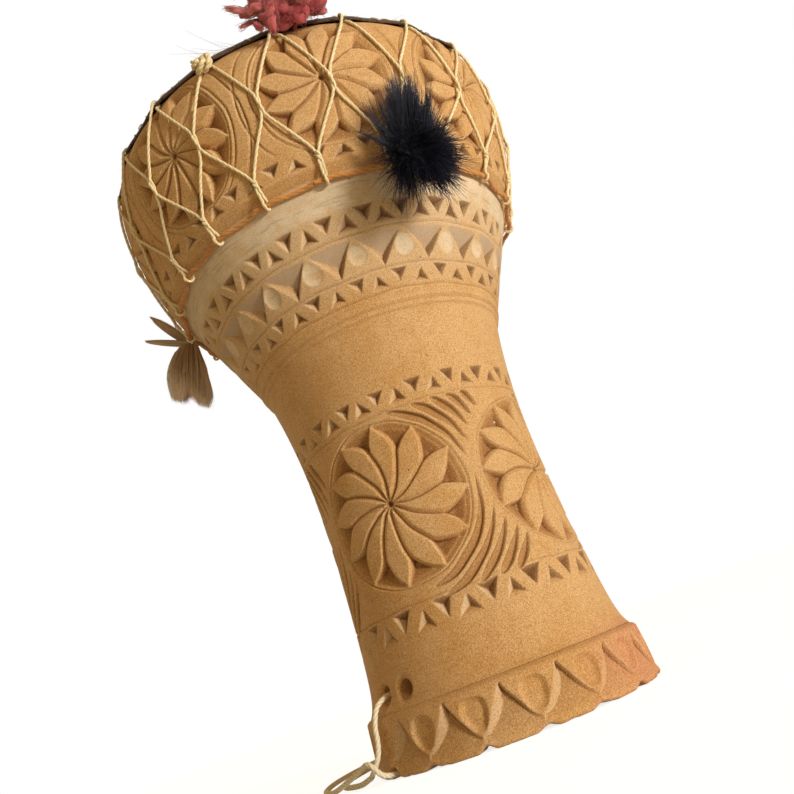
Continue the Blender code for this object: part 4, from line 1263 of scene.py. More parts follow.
def smooth_route(points, step, closed=False):
    """Points a step apart on a smooth curve through points."""
    points = np.asarray(points, dtype=float)
    if closed:
        chain = np.concatenate((points[-1:], points, points[:2]))
    else:
        chain = np.concatenate((2 * points[:1] - points[1:2], points, 2 * points[-1:] - points[-2:-1]))
    share = np.linspace(0, 1, 12, endpoint=False)[:, None]
    route = []
    for a, b, c, d in zip(chain, chain[1:], chain[2:], chain[3:]):
        route.append(0.5 * (2 * b + (c - a) * share + (2 * a - 5 * b + 4 * c - d) * share ** 2
                            + (3 * b - a - 3 * c + d) * share ** 3))
    route = np.concatenate(route + ([points[:1]] if closed else [points[-1:]]))
    along = np.concatenate(([0], np.cumsum(np.linalg.norm(np.diff(route, axis=0), axis=1))))
    count = max(2, round(along[-1] / step))
    places = np.linspace(0, along[-1], count + 1)
    even = np.stack([np.interp(places, along, route[:, axis]) for axis in range(3)], axis=1)
    return even[:-1] if closed else even


def carried_frames(route, closed):
    """Two side directions at each point of a route, carried along it without twist."""
    if closed:
        run = unit(np.roll(route, -1, axis=0) - np.roll(route, 1, axis=0))
    else:
        run = unit(np.gradient(route, axis=0))
    side = np.empty_like(run)
    start = np.cross(run[0], (0.0, 0.0, 1.0))
    if np.linalg.norm(start) < 0.1:
        start = np.cross(run[0], (1.0, 0.0, 0.0))
    side[0] = start / np.linalg.norm(start)
    for i in range(1, len(run)):
        carried = side[i - 1] - run[i] * np.dot(side[i - 1], run[i])
        side[i] = carried / np.linalg.norm(carried)
    return side, np.cross(run, side)


def cord_mesh(name, route, diameter, plies, lay, closed=False, sides=12):
    """A plied cord along a route of even points. Each ply is a lobe that winds along the cord."""
    side, other = carried_frames(route, closed)
    step = np.linalg.norm(np.diff(route, axis=0), axis=1).mean()
    winding = np.arange(len(route)) * step * FULL / lay
    if closed:
        back = math.atan2(np.dot(side[-1], other[0]), np.dot(side[-1], side[0]))
        turns = (winding[-1] + winding[1] + back) * plies / FULL
        winding = winding * (round(turns) * FULL / plies - back) / (winding[-1] + winding[1])
    corners = np.arange(sides) * FULL / sides
    lobe = np.abs(np.cos(plies * corners / 2))
    least = 0.80 if plies == 2 else 0.90
    radius = diameter / 2 * (least + (1 - least) * lobe ** 0.8)
    turn = corners[None, :] + winding[:, None]
    places = route[:, None] + radius[None, :, None] * (
        np.cos(turn)[..., None] * side[:, None] + np.sin(turn)[..., None] * other[:, None])
    if not closed:
        places = np.concatenate((route[:1, None].repeat(sides, 1), places,
                                 route[-1:, None].repeat(sides, 1)))
    # ply marks the grooves between the plies, which the cord's material darkens as painted shade.
    ply = np.repeat((1 - lobe)[None, :], len(places), axis=0)
    return sheet(name, places, None, {"ply": ply}, round_rows=closed)


def lean(z):
    """How far the clay's surface leans outward at a height, as an angle."""
    step = 0.0005
    return math.atan2(float(outer(z + step) - outer(z - step)), 2 * step)


class LaceRun:
    """The way of the lacing: from the knot twice round the bowl and back to it."""

    def __init__(self, cords):
        self.lace = cords.lace
        self.ring = cords.ring
        self.ring_height = SHOULDER_HEIGHT - cords.ring / 2 - cords.lace - CLEARANCE / 2
        self.wrap = (cords.ring + cords.lace) / 2 + 0.0001
        self.wrap_top = SHOULDER_TOP + 0.5 * cords.lace
        self.leg_top = self.wrap_top + LEG_LENGTH
        self.twist = 0.42 * cords.lace

    def on_clay(self, z):
        return float(outer(z)) + (self.lace / 2 + LACE_PLAY) / math.cos(lean(z))

    def ring_radius(self, angle):
        slope = math.cos(lean(self.ring_height))
        base = float(outer(self.ring_height))
        seated = base + (self.ring / 2 + CLEARANCE) / slope
        lifted = base + (self.wrap + 0.55 * self.lace) / slope
        share = ease(beside_lace(angle) * seated, RIDE_END, RIDE_FLAT)
        return seated + (lifted - seated) * share

    def ring_route(self):
        angles = np.arange(LACES * 24) * FULL / (LACES * 24)
        return polar(self.ring_radius(angles), angles, self.ring_height)

    def rim_turn(self, number):
        front = SKIN + 0.55 * self.lace
        back = -0.4 * self.lace
        hole = LACE_HOLE_SHARE
        angle = lace_angle(number)
        pull = float(lap_pull(angle))
        steps = ((-1.0, 1.0, front), (-0.8, 0.8, front), (-0.3, hole + 0.02, 0.8 * front),
                 (0.0, hole - 0.02, SKIN / 2), (0.3, hole + 0.02, 0.7 * back), (0.8, 0.8, back),
                 (1.0, 1.0, back))
        points = []
        for side, share, off in steps:
            radius, height = lap_point(share, off)
            points.append(polar(radius - share * pull, angle + side * LACE_SPREAD / 2 / radius, height))
        return points

    def twisted(self, angle, top, bottom, half_turns, down):
        """One strand of two that wind round each other between two heights."""
        sign = 1 if down else -1
        points = []
        for share in np.linspace(0, 1, 4 * half_turns + 1):
            turn = math.pi * half_turns * share
            height = top + (bottom - top) * share
            radius = self.on_clay(height) + self.twist * (1 + sign * math.sin(turn))
            swing = sign * self.twist * math.cos(turn) / radius
            points.append(polar(radius, angle - swing, height))
        return points if down else points[::-1]

    def belly_turn(self, number):
        """Down the twisted leg, round the ring from the front and up behind it."""
        angle = lace_angle(number)
        centre = float(self.ring_radius(angle))
        half = LACE_SPREAD / 2 / centre
        points = self.twisted(angle, self.leg_top, self.wrap_top, 2, True)
        for share in np.linspace(0, 1, WRAP_STEPS + 1):
            turn = WRAP_START + (WRAP_END - WRAP_START) * share
            height = self.ring_height + self.wrap * math.sin(turn)
            points.append(polar(centre + self.wrap * math.cos(turn),
                                angle + half * (2 * share - 1), height))
        corner = SHOULDER_RADIUS + 0.7 * self.lace
        points.append(polar(corner, angle + half, SHOULDER_TOP - 0.45 * self.lace))
        return points + self.twisted(angle, self.leg_top, self.wrap_top, 2, False)

    def on_bowl(self, start, end, high, low, shares):
        points = []
        for share in shares:
            height = high + (low - high) * share
            points.append(polar(self.on_clay(height), start + (end - start) * share, height))
        return points

    def route(self):
        top = CROSSING_HEIGHT + CROSSING_LENGTH / 2
        bottom = CROSSING_HEIGHT - CROSSING_LENGTH / 2
        points = self.rim_turn(LACE_KNOT_NUMBER)[3:]
        for step in range(LACES):
            rim = LACE_KNOT_NUMBER + 2 * step
            angles = [lace_angle(rim + i) for i in range(3)]
            first = (angles[0] + angles[1]) / 2
            second = (angles[1] + angles[2]) / 2
            points += self.on_bowl(angles[0], first, LAP_BOTTOM, top, np.linspace(0.1, 0.9, 7))
            points += self.twisted(first, top, bottom, CROSSING_HALF_TURNS, True)
            points += self.on_bowl(first, angles[1], bottom, self.leg_top, np.linspace(0.15, 0.85, 5))
            points += self.belly_turn(rim + 1)
            points += self.on_bowl(angles[1], second, self.leg_top, bottom, np.linspace(0.15, 0.85, 5))
            points += self.twisted(second, top, bottom, CROSSING_HALF_TURNS, False)
            points += self.on_bowl(second, angles[2], top, LAP_BOTTOM, np.linspace(0.1, 0.8, 6))
            last = step == LACES - 1
            points += self.rim_turn(rim + 2)[:1] if last else self.rim_turn(rim + 2)
        return np.array(points)


def knot_route(lace):
    """A lumpy knot of many turns at the lap's edge, where the lacing starts and ends."""
    scale = (KNOT_SIZE - KNOT_PUFF * lace) / 5
    angle = lace_angle(LACE_KNOT_NUMBER)
    radius = float(outer(KNOT_HEIGHT)) + SKIN + 1.1 * lace + scale
    turn = Matrix.Rotation(FRONT + angle + math.pi / 2, 4, "Z")
    tilt = Matrix.Rotation(math.pi / 2 + lean(KNOT_HEIGHT), 4, "X")
    knot_frame = Matrix.Translation(Vector(polar(radius, angle, KNOT_HEIGHT))) @ turn @ tilt
    t = np.linspace(0, FULL, 96, endpoint=False)
    bunch = 1.3 + 0.75 * np.cos(4 * t) + 0.25 * np.sin(5 * t + 1)
    spots = np.stack((bunch * np.cos(3 * t - 2) * 1.1, bunch * np.sin(3 * t - 2) * 0.9,
                      0.95 * np.sin(4 * t) + 0.2 * np.sin(7 * t)), axis=1) * scale
    return np.array([knot_frame @ Vector(spot) for spot in spots]), knot_frame


class DRUM_OT_lacing(bpy.types.Operator):
    """Laces the skin to the belly ring with one cotton twist, and ties its knot"""
    bl_idname = "drum.lacing"
    bl_label = "Lacing, knot and belly ring"

    def execute(self, context):
        cords = context.scene.drum_cords
        cotton = cord_material("cotton_twist", cords.cotton, tone(196, 158, 98), rough=0.85)
        way = LaceRun(cords)
        route = smooth_route(way.route(), step=0.00036)
        lacing = cord_mesh("cotton_lacing", route, cords.lace, plies=2, lay=cords.lace_lay, sides=10)
        place_on(lacing, cotton, "drum", "cotton", "lacing_cord")
        points, knot_frame = knot_route(cords.lace)
        route = smooth_route(points, step=0.0003, closed=True)
        knot = cord_mesh("cotton_knot", route, cords.lace * KNOT_PUFF, plies=2,
                         lay=cords.lace_lay, closed=True)
        place_on(knot, cotton, "drum", "cotton", "lacing_knot")
        for number, spots in enumerate(KNOT_TAILS):
            tail = [knot_frame @ Vector((x * MILLIMETRE, y * MILLIMETRE, KNOT_TAIL_RISE))
                    for x, y in spots]
            route = smooth_route(tail, step=0.0003)
            mesh = cord_mesh(f"knot_tail_{number}", route, cords.lace, plies=2, lay=cords.lace_lay)
            place_on(mesh, cotton, "drum", "cotton", "lacing_knot")
        cane = cord_material("dyed_ring_cord", cords.cane, tone(160, 100, 38), rough=0.75)
        route = smooth_route(way.ring_route(), step=0.0004, closed=True)
        ring = cord_mesh("ring_cord", route, cords.ring, plies=3, lay=cords.ring_lay, closed=True)
        place_on(ring, cane, "drum", "cane", "belly_ring")
        return {"FINISHED"}


class DRUM_OT_hanging_cord(bpy.types.Operator):
    """Threads the hanging cord through its hole and lays its loop beside the foot"""
    bl_idname = "drum.hanging_cord"
    bl_label = "Hanging cord"

    def execute(self, context):
        cords = context.scene.drum_cords
        cotton = cord_material("cotton_cord", tone(253, 240, 206), tone(206, 174, 120), rough=0.88)
        turn = Matrix.Rotation(FRONT + TOOTH_ANGLE, 3, "Z")
        hitch = smooth_route([turn @ Vector(point) for point in HITCH_ROUTE], step=0.0004)
        ends = [hitch[0] + unit(hitch[0] - hitch[1]) * CLEARANCE,
                hitch[-1] + unit(hitch[-1] - hitch[-2]) * CLEARANCE]
        points = [ends[0]] + [np.array(turn @ Vector(point)) for point in LOOP_ROUTE] + [ends[1]]
        loop = smooth_route(points, step=0.0004)
        hitch_piece = place_on(cord_mesh("cord_hitch", hitch, cords.cord, plies=3, lay=cords.cord_lay),
                               cotton, "drum", "cotton", "hanging_cord_hitch")
        loop_piece = place_on(cord_mesh("cord_loop", loop, cords.cord, plies=3, lay=cords.cord_lay),
                              cotton, "drum", "cotton", "hanging_cord_loop")
        return {"FINISHED"}


def joint_named(name):
    return next(joint for joint in frame["joints"] if joint["name"] == name)


def hinge_frame(joint_name):
    """The place where a tassel hangs: X outward, Y to the right along its hinge, Z up."""
    joint = joint_named(joint_name)
    axis = joint["axis"]
    azimuth = math.atan2(-axis[0], axis[1])
    return Matrix.Translation(Vector(joint["pos_m"])) @ Matrix.Rotation(azimuth, 4, "Z")


def carried(spots, matrix):
    """Local points (... x 3) in the drum's frame."""
    grid = np.array(matrix)
    return spots @ grid[:3, :3].T + grid[:3, 3]


def pointing(face, swing):
    """Directions that lean outward by face and go round the hang of a tassel by swing."""
    aside = np.cos(face)
    return np.stack((np.sin(face), aside * np.cos(swing), aside * np.sin(swing)), axis=1)


def grown(roots, ways, lengths, droop, curl, rng, levels):
    """Spines from roots along ways, with a droop and a loose curl, in local millimetres."""
    count = len(roots)
    share = np.linspace(0, 1, levels)[None, :, None]
    spines = roots[:, None] + ways[:, None] * lengths[:, None, None] * share
    spines = spines + droop[:, None] * share ** 2
    side = unit(np.cross(ways, rng.normal(size=(count, 3))))
    other = np.cross(ways, side)
    phase = rng.uniform(0, FULL, (count, 1, 1))
    turns = rng.uniform(0.4, 1.1, (count, 1, 1)) * FULL
    swing = curl[:, None, None] * share
    return spines + swing * (np.cos(phase + turns * share) * side[:, None]
                             + np.sin(phase + turns * share) * other[:, None])


def tapered(count, levels, hair, rng, fine=0.25):
    """Radii of hairs that thin out to a share of their root, each a little thicker or thinner."""
    share = np.linspace(0, 1, levels)[None, :]
    thick = hair / 2 * rng.uniform(0.7, 1.3, (count, 1))
    return thick * (1 - (1 - fine) * share ** 1.5)


# Navy tuft, in millimetres: its middle, its reach and fullness by the angle round it, and its band.
NAVY_TIE_SPOT = np.array((6.5, 3.0, -1.6))
NAVY_UP = math.radians(91)
NAVY_REACH_WAYS = np.radians((-180, -151, -106, -61, -16, 14, 34, 54, 79, 99, 119, 134, 180))
NAVY_REACHES = (12.0, 17.0, 23.0, 18.0, 11.5, 11.0, 12.0, 16.5, 24.0, 24.0, 18.0, 17.0, 12.0)
NAVY_THICK = (0.5, 0.5, 1.0, 1.0, 1.0, 0.8, 0.22, 0.3, 1.0, 1.0, 0.12, 0.12, 0.5)
NAVY_BAND = np.array((
    (1.6, -5.6, -3.0), (5.5, -5.4, -2.6), (10.2, -3.0, -1.6), (12.0, 0.2, -1.2),
    (11.0, 3.6, -1.2), (6.5, 5.6, -1.6), (2.0, 5.6, -2.2),
))
NAVY_CLUMPS = 260
# Room that fur and its inner locks keep from the clay.
NAVY_FUR_GAP = 0.0014
NAVY_LOCK_GAP = 0.0026
TAN_FUR_GAP = 0.0014
TAN_LOCK_GAP = 0.0034
TAN_BLADE_GAP = 0.0008


def off_clay(spots, gap):
    """Spots in the drum's frame, moved outward where they would touch the clay."""
    far = np.hypot(spots[..., 0], spots[..., 1])
    free = outer(np.clip(spots[..., 2], 0, LIP_HEIGHT)) + gap
    push = np.maximum(free / np.maximum(far, 1e-6), 1)
    return spots * np.stack((push, push, np.ones_like(push)), axis=-1)


def swing_room(spots, gap, joint_name):
    """Spots in the drum's frame, kept off the clay at rest and at both ends of a tassel's swing."""
    joint = joint_named(joint_name)
    hinge = np.array(joint["pos_m"])
    axis = Vector(joint["axis"])
    for degrees in (*joint["range_deg"], *joint["range_deg"], 0):
        turn = np.array(Matrix.Rotation(math.radians(degrees), 3, axis))
        swung = off_clay((spots - hinge) @ turn.T + hinge, gap)
        spots = (swung - hinge) @ turn + hinge
    return spots


def navy_hairs(count, hair, matrix):
    """A bound tuft of dark fur: upright locks on top and a fluffy fringe below."""
    rng = np.random.default_rng(3)
    clumps, tries = NAVY_CLUMPS, 4000
    swing = rng.uniform(-math.pi, math.pi, tries)
    kept = rng.random(tries) < np.interp(swing, NAVY_REACH_WAYS, NAVY_THICK)
    swing = swing[kept][:clumps]
    upright = np.abs(swing - NAVY_UP) < 0.3
    swing = np.where(upright, NAVY_UP + 0.4 * (swing - NAVY_UP), swing)
    face = rng.uniform(0.0, 1.15, clumps) ** 1.3
    ways = pointing(face, swing)
    reach = np.interp(swing, NAVY_REACH_WAYS, NAVY_REACHES) * rng.uniform(0.86, 1.05, clumps)
    reach = reach * (1 - 0.15 * np.sin(face))
    levels = 7
    share = np.linspace(0, 1, levels)[None, :, None]
    roots = NAVY_TIE_SPOT + rng.normal(size=(clumps, 3)) * (1.0, 1.8, 1.2)
    roots[:, 1] += np.where(upright, rng.uniform(-4.5, 2.5, clumps), 0)
    droop = rng.normal(size=(clumps, 3)) * (0.5, 1.2, 1.2)
    cores = roots[:, None] + ways[:, None] * reach[:, None, None] * share
    cores = cores + droop[:, None] * share ** 2
    pick = rng.integers(0, clumps, count)
    low = ways[pick, 2] < 0.1
    spread = rng.normal(size=(count, 1, 3)) * np.where(low, 1.6, 1.0)[:, None, None]
    short = rng.uniform(0.74, 1.0, (count, 1, 1))
    wisp = rng.normal(size=(count, 1, 3)) * np.where(low, 1.7, 0.6)[:, None, None]
    spines = roots[pick][:, None] + (cores[pick] - roots[pick][:, None]) * short
    spines = spines + spread * (1.0 - 0.2 * share) + wisp * share ** 2
    shade = np.where(low, 0.5, 0.05) * rng.random(count)
    radii = tapered(count, levels, hair, rng, fine=0.4) * np.where(low, 1.4, 1.1)[:, None]
    spines = swing_room(carried(spines * MILLIMETRE, matrix), NAVY_FUR_GAP, "navy_swing")
    fur = strands("navy_fur", spines, radii, shade)
    thick = 0.0011 * (1 - np.linspace(0, 1, levels) ** 1.3) * rng.uniform(0.7, 1.2, (clumps, 1))
    stubs = roots[:, None] + 0.78 * (cores - roots[:, None])
    stubs = swing_room(carried(stubs * MILLIMETRE, matrix), NAVY_LOCK_GAP, "navy_swing")
    core = strands("navy_locks", stubs, thick + 0.00003, np.zeros(clumps), sides=6)
    return fur, core


def red_hairs(count, hair, matrix):
    """Matted wool: thick bent locks in a lump, finger-like ones to the left, and loose hairs."""
    rng = np.random.default_rng(8)
    locks, fingers = 64, 5
    total = locks + fingers
    levels = 9
    swing = rng.uniform(-math.pi, math.pi, total)
    face = rng.uniform(0.0, 1.3, total)
    ways = pointing(face, swing)
    roots = np.array((4.5, -0.5, 2.6)) + rng.uniform(-1, 1, (total, 3)) * (2.0, 8.6, 4.2)
    lengths = rng.uniform(3.4, 5.6, total)
    thick = rng.uniform(1.7, 3.1, total)
    curl = rng.uniform(1.8, 3.6, total)
    droop = rng.normal(size=(total, 3)) * (0.8, 1.6, 1.2)
    ways[locks:] = unit(np.stack((rng.uniform(0.0, 0.4, fingers), np.full(fingers, -1.0),
                                  np.linspace(-0.1, 0.35, fingers)), axis=1))
    roots[locks:] = np.stack((rng.uniform(3, 5, fingers), np.full(fingers, -8.5),
                              np.linspace(1.0, 7.0, fingers)), axis=1)
    lengths[locks:] = rng.uniform(7, 10, fingers)
    thick[locks:] = rng.uniform(0.8, 1.1, fingers)
    curl[locks:] = 0.9
    droop[locks:] *= 0.5
    spines = grown(roots, ways, lengths, droop, curl, rng, levels)
    share = np.linspace(0, 1, levels)
    profile = np.sin(math.pi * (0.2 + 0.56 * share)) ** 0.5 * (1 - share ** 16)
    radii = thick[:, None] * profile
    spines[..., 0] = np.maximum(spines[..., 0], 1.0 + 0.6 * radii)
    tones = rng.random(total) * 0.6
    tones[locks:] = 0.9
    felt = strands("red_felt", carried(spines * MILLIMETRE, matrix), radii * MILLIMETRE, tones,
                   sides=12, facing=unit(rng.normal(size=(total, 3))), flat=0.62)
    pick = rng.integers(0, total, count)
    spread = unit(rng.normal(size=(count, 1, 3)))
    fuzz = spines[pick] + spread * radii[pick][..., None] * rng.uniform(0.7, 1.12, (count, 1, 1))
    steps = share[None, :, None]
    wave = rng.uniform(0, FULL, (count, 1, 1)) + steps * rng.uniform(4, 10, (count, 1, 1))
    fuzz = fuzz + 0.2 * np.sin(wave) * rng.normal(size=(count, 1, 3))
    fuzz = fuzz + 0.5 * steps ** 2 * rng.normal(size=(count, 1, 3))
    fuzz[..., 0] = np.maximum(fuzz[..., 0], 1.0)
    wool = strands("red_wool", carried(fuzz * MILLIMETRE, matrix),
                   tapered(count, levels, hair * 0.85, rng, fine=0.6),
                   np.clip(tones[pick] + rng.uniform(-0.5, 0.5, count), 0, 1))
    return felt, wool


# Tan brush, in millimetres: its two lobes (side, length), and its locks (root, tip, half width).
TAN_HANG = math.radians(75)
TAN_START = 1.5
TAN_LENGTH = 23.8
TAN_BREADTH = 8.6
TAN_THICKNESS = 4.4
TAN_LOBES = ((-0.45, 21.5), (0.45, 18.2))
TAN_BLADES = (
    (np.array((0.6, 0.0, 0.0)), np.array((12.5, 0.0, 16.4)), 1.7),
    (np.array((1.0, 0.5, -0.5)), np.array((16.6, 0.5, 6.9)), 1.05),
)


def tan_hairs(count, hair, matrix):
    """A brush that hangs in two lobes beside the collar, and two flat pointed locks that stand off."""
    rng = np.random.default_rng(14)
    down = np.array((math.cos(TAN_HANG), 0, -math.sin(TAN_HANG)))
    out = np.array((math.sin(TAN_HANG), 0, math.cos(TAN_HANG)))
    sideways = np.array((0.0, 1.0, 0.0))
    levels = 9
    steps = np.linspace(0, 1, levels)
    share = steps[None, :, None]
    aside = rng.uniform(-1, 1, (count, 1, 1))
    front = rng.uniform(-1, 1, (count, 1, 1)) * np.sqrt(1 - 0.8 * aside ** 2)
    length = TAN_LENGTH - 2.2 * aside - 3.0 * np.exp(-(aside / 0.25) ** 2)
    length = length * rng.uniform(0.88, 1.0, (count, 1, 1))
    swell = np.sin(math.pi * (0.18 + 0.52 * share))
    spines = (TAN_START + length * share) * down + TAN_BREADTH * aside * swell * out
    spines = spines + TAN_THICKNESS * front * swell * sideways
    spines = spines + rng.normal(size=(count, 1, 3)) * 0.35 * share
    tones = rng.random(count) * 0.35 + 0.65 * np.abs(aside[:, 0, 0]) ** 2
    middles, widths, shades = [], [], []
    broad = TAN_BREADTH * swell[0, :, 0]
    for lobe, long in TAN_LOBES:
        middles.append((TAN_START + long * steps)[:, None] * down + (lobe * broad)[:, None] * out)
        widths.append(0.36 * broad * (1 - steps ** 5) ** 0.5)
        shades.append(0.15)
    stand = count // 10
    for number, (root, tip, half) in enumerate(TAN_BLADES):
        part = slice(number * stand, (number + 1) * stand)
        blade = root + (tip - root) * steps[:, None]
        width = half * np.sin(math.pi * (0.2 + 0.8 * steps)) ** 0.6
        across = unit(np.cross(tip - root, sideways))
        spread = rng.uniform(-1, 1, (stand, 1, 1))
        spines[part] = blade + spread * width[None, :, None] * across
        spines[part] += rng.normal(size=(stand, 1, 3)) * (0.15, 0.4, 0.15)
        tones[part] = 0.3 + 0.5 * rng.random(stand)
        middles.append(blade)
        widths.append(0.9 * width)
        shades.append(0.4)
    facing = np.tile(np.array(matrix)[:3, 1], (len(middles), 1))
    locks = carried(np.array(middles) * MILLIMETRE, matrix)
    lobes = slice(len(TAN_LOBES))
    locks[lobes] = swing_room(locks[lobes], TAN_LOCK_GAP, "tan_swing")
    core = strands("tan_locks", locks, np.array(widths) * MILLIMETRE, np.array(shades),
                   sides=18, facing=facing, flat=0.5)
    loose = off_clay(carried(spines * MILLIMETRE, matrix), TAN_BLADE_GAP)
    hanging = slice(stand * len(TAN_BLADES), None)
    loose[hanging] = swing_room(loose[hanging], TAN_FUR_GAP, "tan_swing")
    fur = strands("tan_fur", loose, tapered(count, levels, hair, rng), tones)
    return fur, core


# Ties of the tassels, and two heights over the tan tassel's hinge, passed as its bend.
RING_TIE_ROOM = 0.0005
LAP_TIE_RADIUS = 0.00135
RING_THREAD = 0.0008
BAND_THREAD = 0.0003
LAP_THREAD = 0.0006
TAN_BEND = (0.005, -0.003)


def tie_route(radius, matrix, turns, pitch):
    """Thread wound round a tassel's hinge line."""
    t = np.linspace(0, FULL * turns, 24 * turns)
    spots = np.stack((radius * np.cos(t), pitch * (t / FULL - turns / 2), radius * np.sin(t)), axis=1)
    return carried(spots, matrix)


def add_tassel(name, slot, tufts, hair_finish, tie_finish, tie_parts, bend=None):
    """Adds a tuft and its tie. A tuft with a bend is not attached to its tassel's body, and its place
    is baked into its mesh; the bend's heights are not used.
    """
    body = f"{name}_tassel"
    for tuft in tufts:
        piece = place_on(tuft, hair_finish, None if bend else body, slot, f"{name}_tuft")
        if bend:
            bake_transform(piece)
    for number, (route, diameter) in enumerate(tie_parts):
        thread = cord_mesh(f"{name}_thread_{number}", smooth_route(route, step=0.00025), diameter,
                           plies=2, lay=0.0022, sides=8)
        place_on(thread, tie_finish, body, slot, f"{name}_tie")


class DRUM_OT_tassels(bpy.types.Operator):
    """Ties on the navy, red and tan tassels"""
    bl_idname = "drum.tassels"
    bl_label = "Tassels"

    def execute(self, context):
        look = context.scene.drum_tassels
        cords = context.scene.drum_cords
        ring_tie = cords.ring / 2 + CLEARANCE + RING_TIE_ROOM
        pale = cord_material("tie_thread", cords.cotton, tone(150, 118, 78), rough=0.85)
        navy = hinge_frame("navy_swing")
        fur = hair_material("navy_hair", look.navy, tone(15, 19, 40), tone(28, 20, 26),
                            rough=0.42, sheen=0.04)
        add_tassel("navy", "navy_fur", navy_hairs(look.navy_hairs, look.hair, navy), fur, pale,
                   ((tie_route(ring_tie, navy, turns=2, pitch=0.0009), RING_THREAD),
                    (carried(NAVY_BAND * MILLIMETRE, navy), BAND_THREAD)))
        red = hinge_frame("red_swing")
        # The root tone is painted shade: it darkens the locks where they meet in the lump's folds.
        wool = hair_material("felted_wool", tone(136, 38, 46), look.red, tone(218, 132, 120),
                             rough=0.9, sheen=0.3)
        thread = cord_material("red_thread", look.red, tone(110, 30, 38), rough=0.9)
        add_tassel("red", "red_wool", red_hairs(look.red_hairs, look.hair, red), wool, thread,
                   ((tie_route(LAP_TIE_RADIUS, red, turns=2, pitch=0.0006), LAP_THREAD),))
        tan = hinge_frame("tan_swing")
        brush = hair_material("tan_hair", tone(172, 128, 78), look.tan, tone(255, 240, 208),
                              rough=0.7, sheen=0.2)
        bend = [tuple(tan.translation + Vector((0, 0, height))) for height in TAN_BEND]
        add_tassel("tan", "tan_fur", tan_hairs(look.tan_hairs, look.hair, tan), brush, pale,
                   ((tie_route(ring_tie, tan, turns=2, pitch=0.0009), RING_THREAD),), bend)
        return {"FINISHED"}


def camera_axes():
    """Right, up and forward of the camera in the drum's frame, and its place."""
    vector = Vector(CAMERA_TURN)
    turn = Matrix.Rotation(FRONT + math.pi / 2, 3, "Z")
    look = turn @ Matrix.Rotation(vector.length, 3, vector.normalized())
    return look.col[0], look.col[2], look.col[1], turn @ Vector(CAMERA_PLACE)


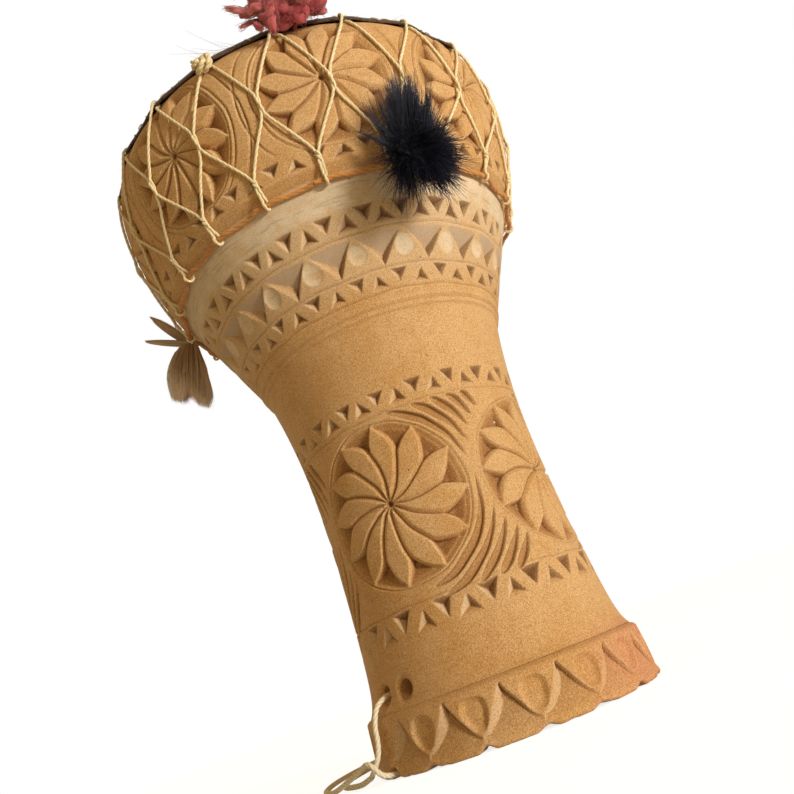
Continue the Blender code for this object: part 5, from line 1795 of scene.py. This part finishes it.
class DRUM_OT_stage(bpy.types.Operator):
    """Sets up the camera, the pale floor and the studio light"""
    bl_idname = "drum.stage"
    bl_label = "Camera, floor and light"

    def execute(self, context):
        scene = context.scene
        settings = scene.drum_stage
        scene.view_settings.view_transform = "Standard"
        right, up, forward, place = camera_axes()
        lens = bpy.data.cameras.new("camera")
        lens.sensor_width = SENSOR
        lens.lens = CAMERA_FOCUS / IMAGE_SIZE * SENSOR
        lens.clip_start = 0.01
        lens.clip_end = 50
        camera = bpy.data.objects.new("camera", lens)
        axes = Matrix((right, up, -forward)).transposed().to_4x4()
        camera.matrix_world = Matrix.Translation(place) @ axes
        scene.collection.objects.link(camera)
        scene.camera = camera
        self.add_floor(scene, settings)
        self.add_light(scene, settings, right, up, forward)
        return {"FINISHED"}

    def add_floor(self, scene, settings):
        form = bmesh.new()
        bmesh.ops.create_grid(form, x_segments=4, y_segments=4, size=FLOOR_HALF)
        mesh = settled(form, "floor")
        floor = bpy.data.objects.new("floor", mesh)
        material, finish, shader = new_material("pale_floor", roughness=0.9)
        shader.inputs["Base Color"].default_value = (*settings.floor, 1)
        white = finish.node("ShaderNodeEmission", None,
                            {"Color": (1, 1, 1, 1), "Strength": FLOOR_WHITE})
        share = self.seen(finish) * FLOOR_WHITE_SHARE
        out = finish.tree.nodes["Material Output"]
        mixed = finish.node("ShaderNodeMixShader", None,
                            {0: share, 1: Wire(finish, shader.outputs[0]), 2: white})
        finish.tree.links.new(mixed.socket, out.inputs["Surface"])
        mesh.materials.append(material)
        scene.collection.objects.link(floor)

    def seen(self, finish):
        """1 where the background itself is looked at, straight or in a gloss."""
        camera = finish.node("ShaderNodeLightPath", output="Is Camera Ray")
        gloss = finish.node("ShaderNodeLightPath", output="Is Glossy Ray")
        clear = finish.node("ShaderNodeLightPath", output="Is Transmission Ray")
        return finish.maths("MINIMUM", camera + gloss + clear, 1.0)

    def add_light(self, scene, settings, right, up, forward):
        world = bpy.data.worlds.new("room")
        world.use_nodes = True
        finish = Finish(world.node_tree)
        seen = self.seen(finish)
        back = world.node_tree.nodes["Background"]
        sky = finish.blend(seen, settings.warmth, (1, 1, 1))
        finish.tree.links.new(sky.socket, back.inputs["Color"])
        finish.tree.links.new((settings.fill + seen * (1 - settings.fill)).socket,
                              back.inputs["Strength"])
        scene.world = world
        centre = Vector((0, 0, BODY_HEIGHT / 2))
        aside, above, before = KEY_WAY
        way = (right * aside + up * above - forward * before).normalized()
        lamp = bpy.data.lights.new("key", "AREA")
        lamp.shape = "DISK"
        lamp.size = KEY_SIZE
        lamp.energy = settings.key
        key = bpy.data.objects.new("key", lamp)
        turn = way.to_track_quat("Z", "Y").to_matrix().to_4x4()
        key.matrix_world = Matrix.Translation(centre + way * KEY_DISTANCE) @ turn
        scene.collection.objects.link(key)


class DRUM_PT_panel(bpy.types.Panel):
    """Drum settings and steps"""
    bl_idname = "DRUM_PT_panel"
    bl_label = "Clay hand drum"
    bl_space_type = "VIEW_3D"
    bl_region_type = "UI"
    bl_category = "Drum"

    def draw(self, context):
        for group in SETTINGS:
            box = self.layout.box()
            settings = getattr(context.scene, group)
            for key in settings.bl_rna.properties.keys():
                if key not in ("rna_type", "name"):
                    box.prop(settings, key)
        for step in STEPS:
            self.layout.operator(step.bl_idname)


SETTINGS = {
    "drum_clay": DrumClaySettings,
    "drum_cords": DrumCordSettings,
    "drum_skin": DrumSkinSettings,
    "drum_tassels": DrumTasselSettings,
    "drum_stage": DrumStageSettings,
}
STEPS = (DRUM_OT_stage, DRUM_OT_hanging_cord, DRUM_OT_lacing, DRUM_OT_clay, DRUM_OT_skin,
         DRUM_OT_tassels)


def register():
    for name, group in SETTINGS.items():
        bpy.utils.register_class(group)
        setattr(bpy.types.Scene, name, PointerProperty(type=group))
    for kind in (*STEPS, DRUM_PT_panel):
        bpy.utils.register_class(kind)


def unregister():
    for kind in (DRUM_PT_panel, *reversed(STEPS)):
        bpy.utils.unregister_class(kind)
    for name, group in reversed(SETTINGS.items()):
        delattr(bpy.types.Scene, name)
        bpy.utils.unregister_class(group)


def main():
    register()
    bpy.ops.drum.stage()
    bpy.ops.drum.hanging_cord()
    bpy.ops.drum.lacing()
    bpy.ops.drum.clay()
    bpy.ops.drum.skin()
    bpy.ops.drum.tassels()


if __name__ == "__main__":
    main()
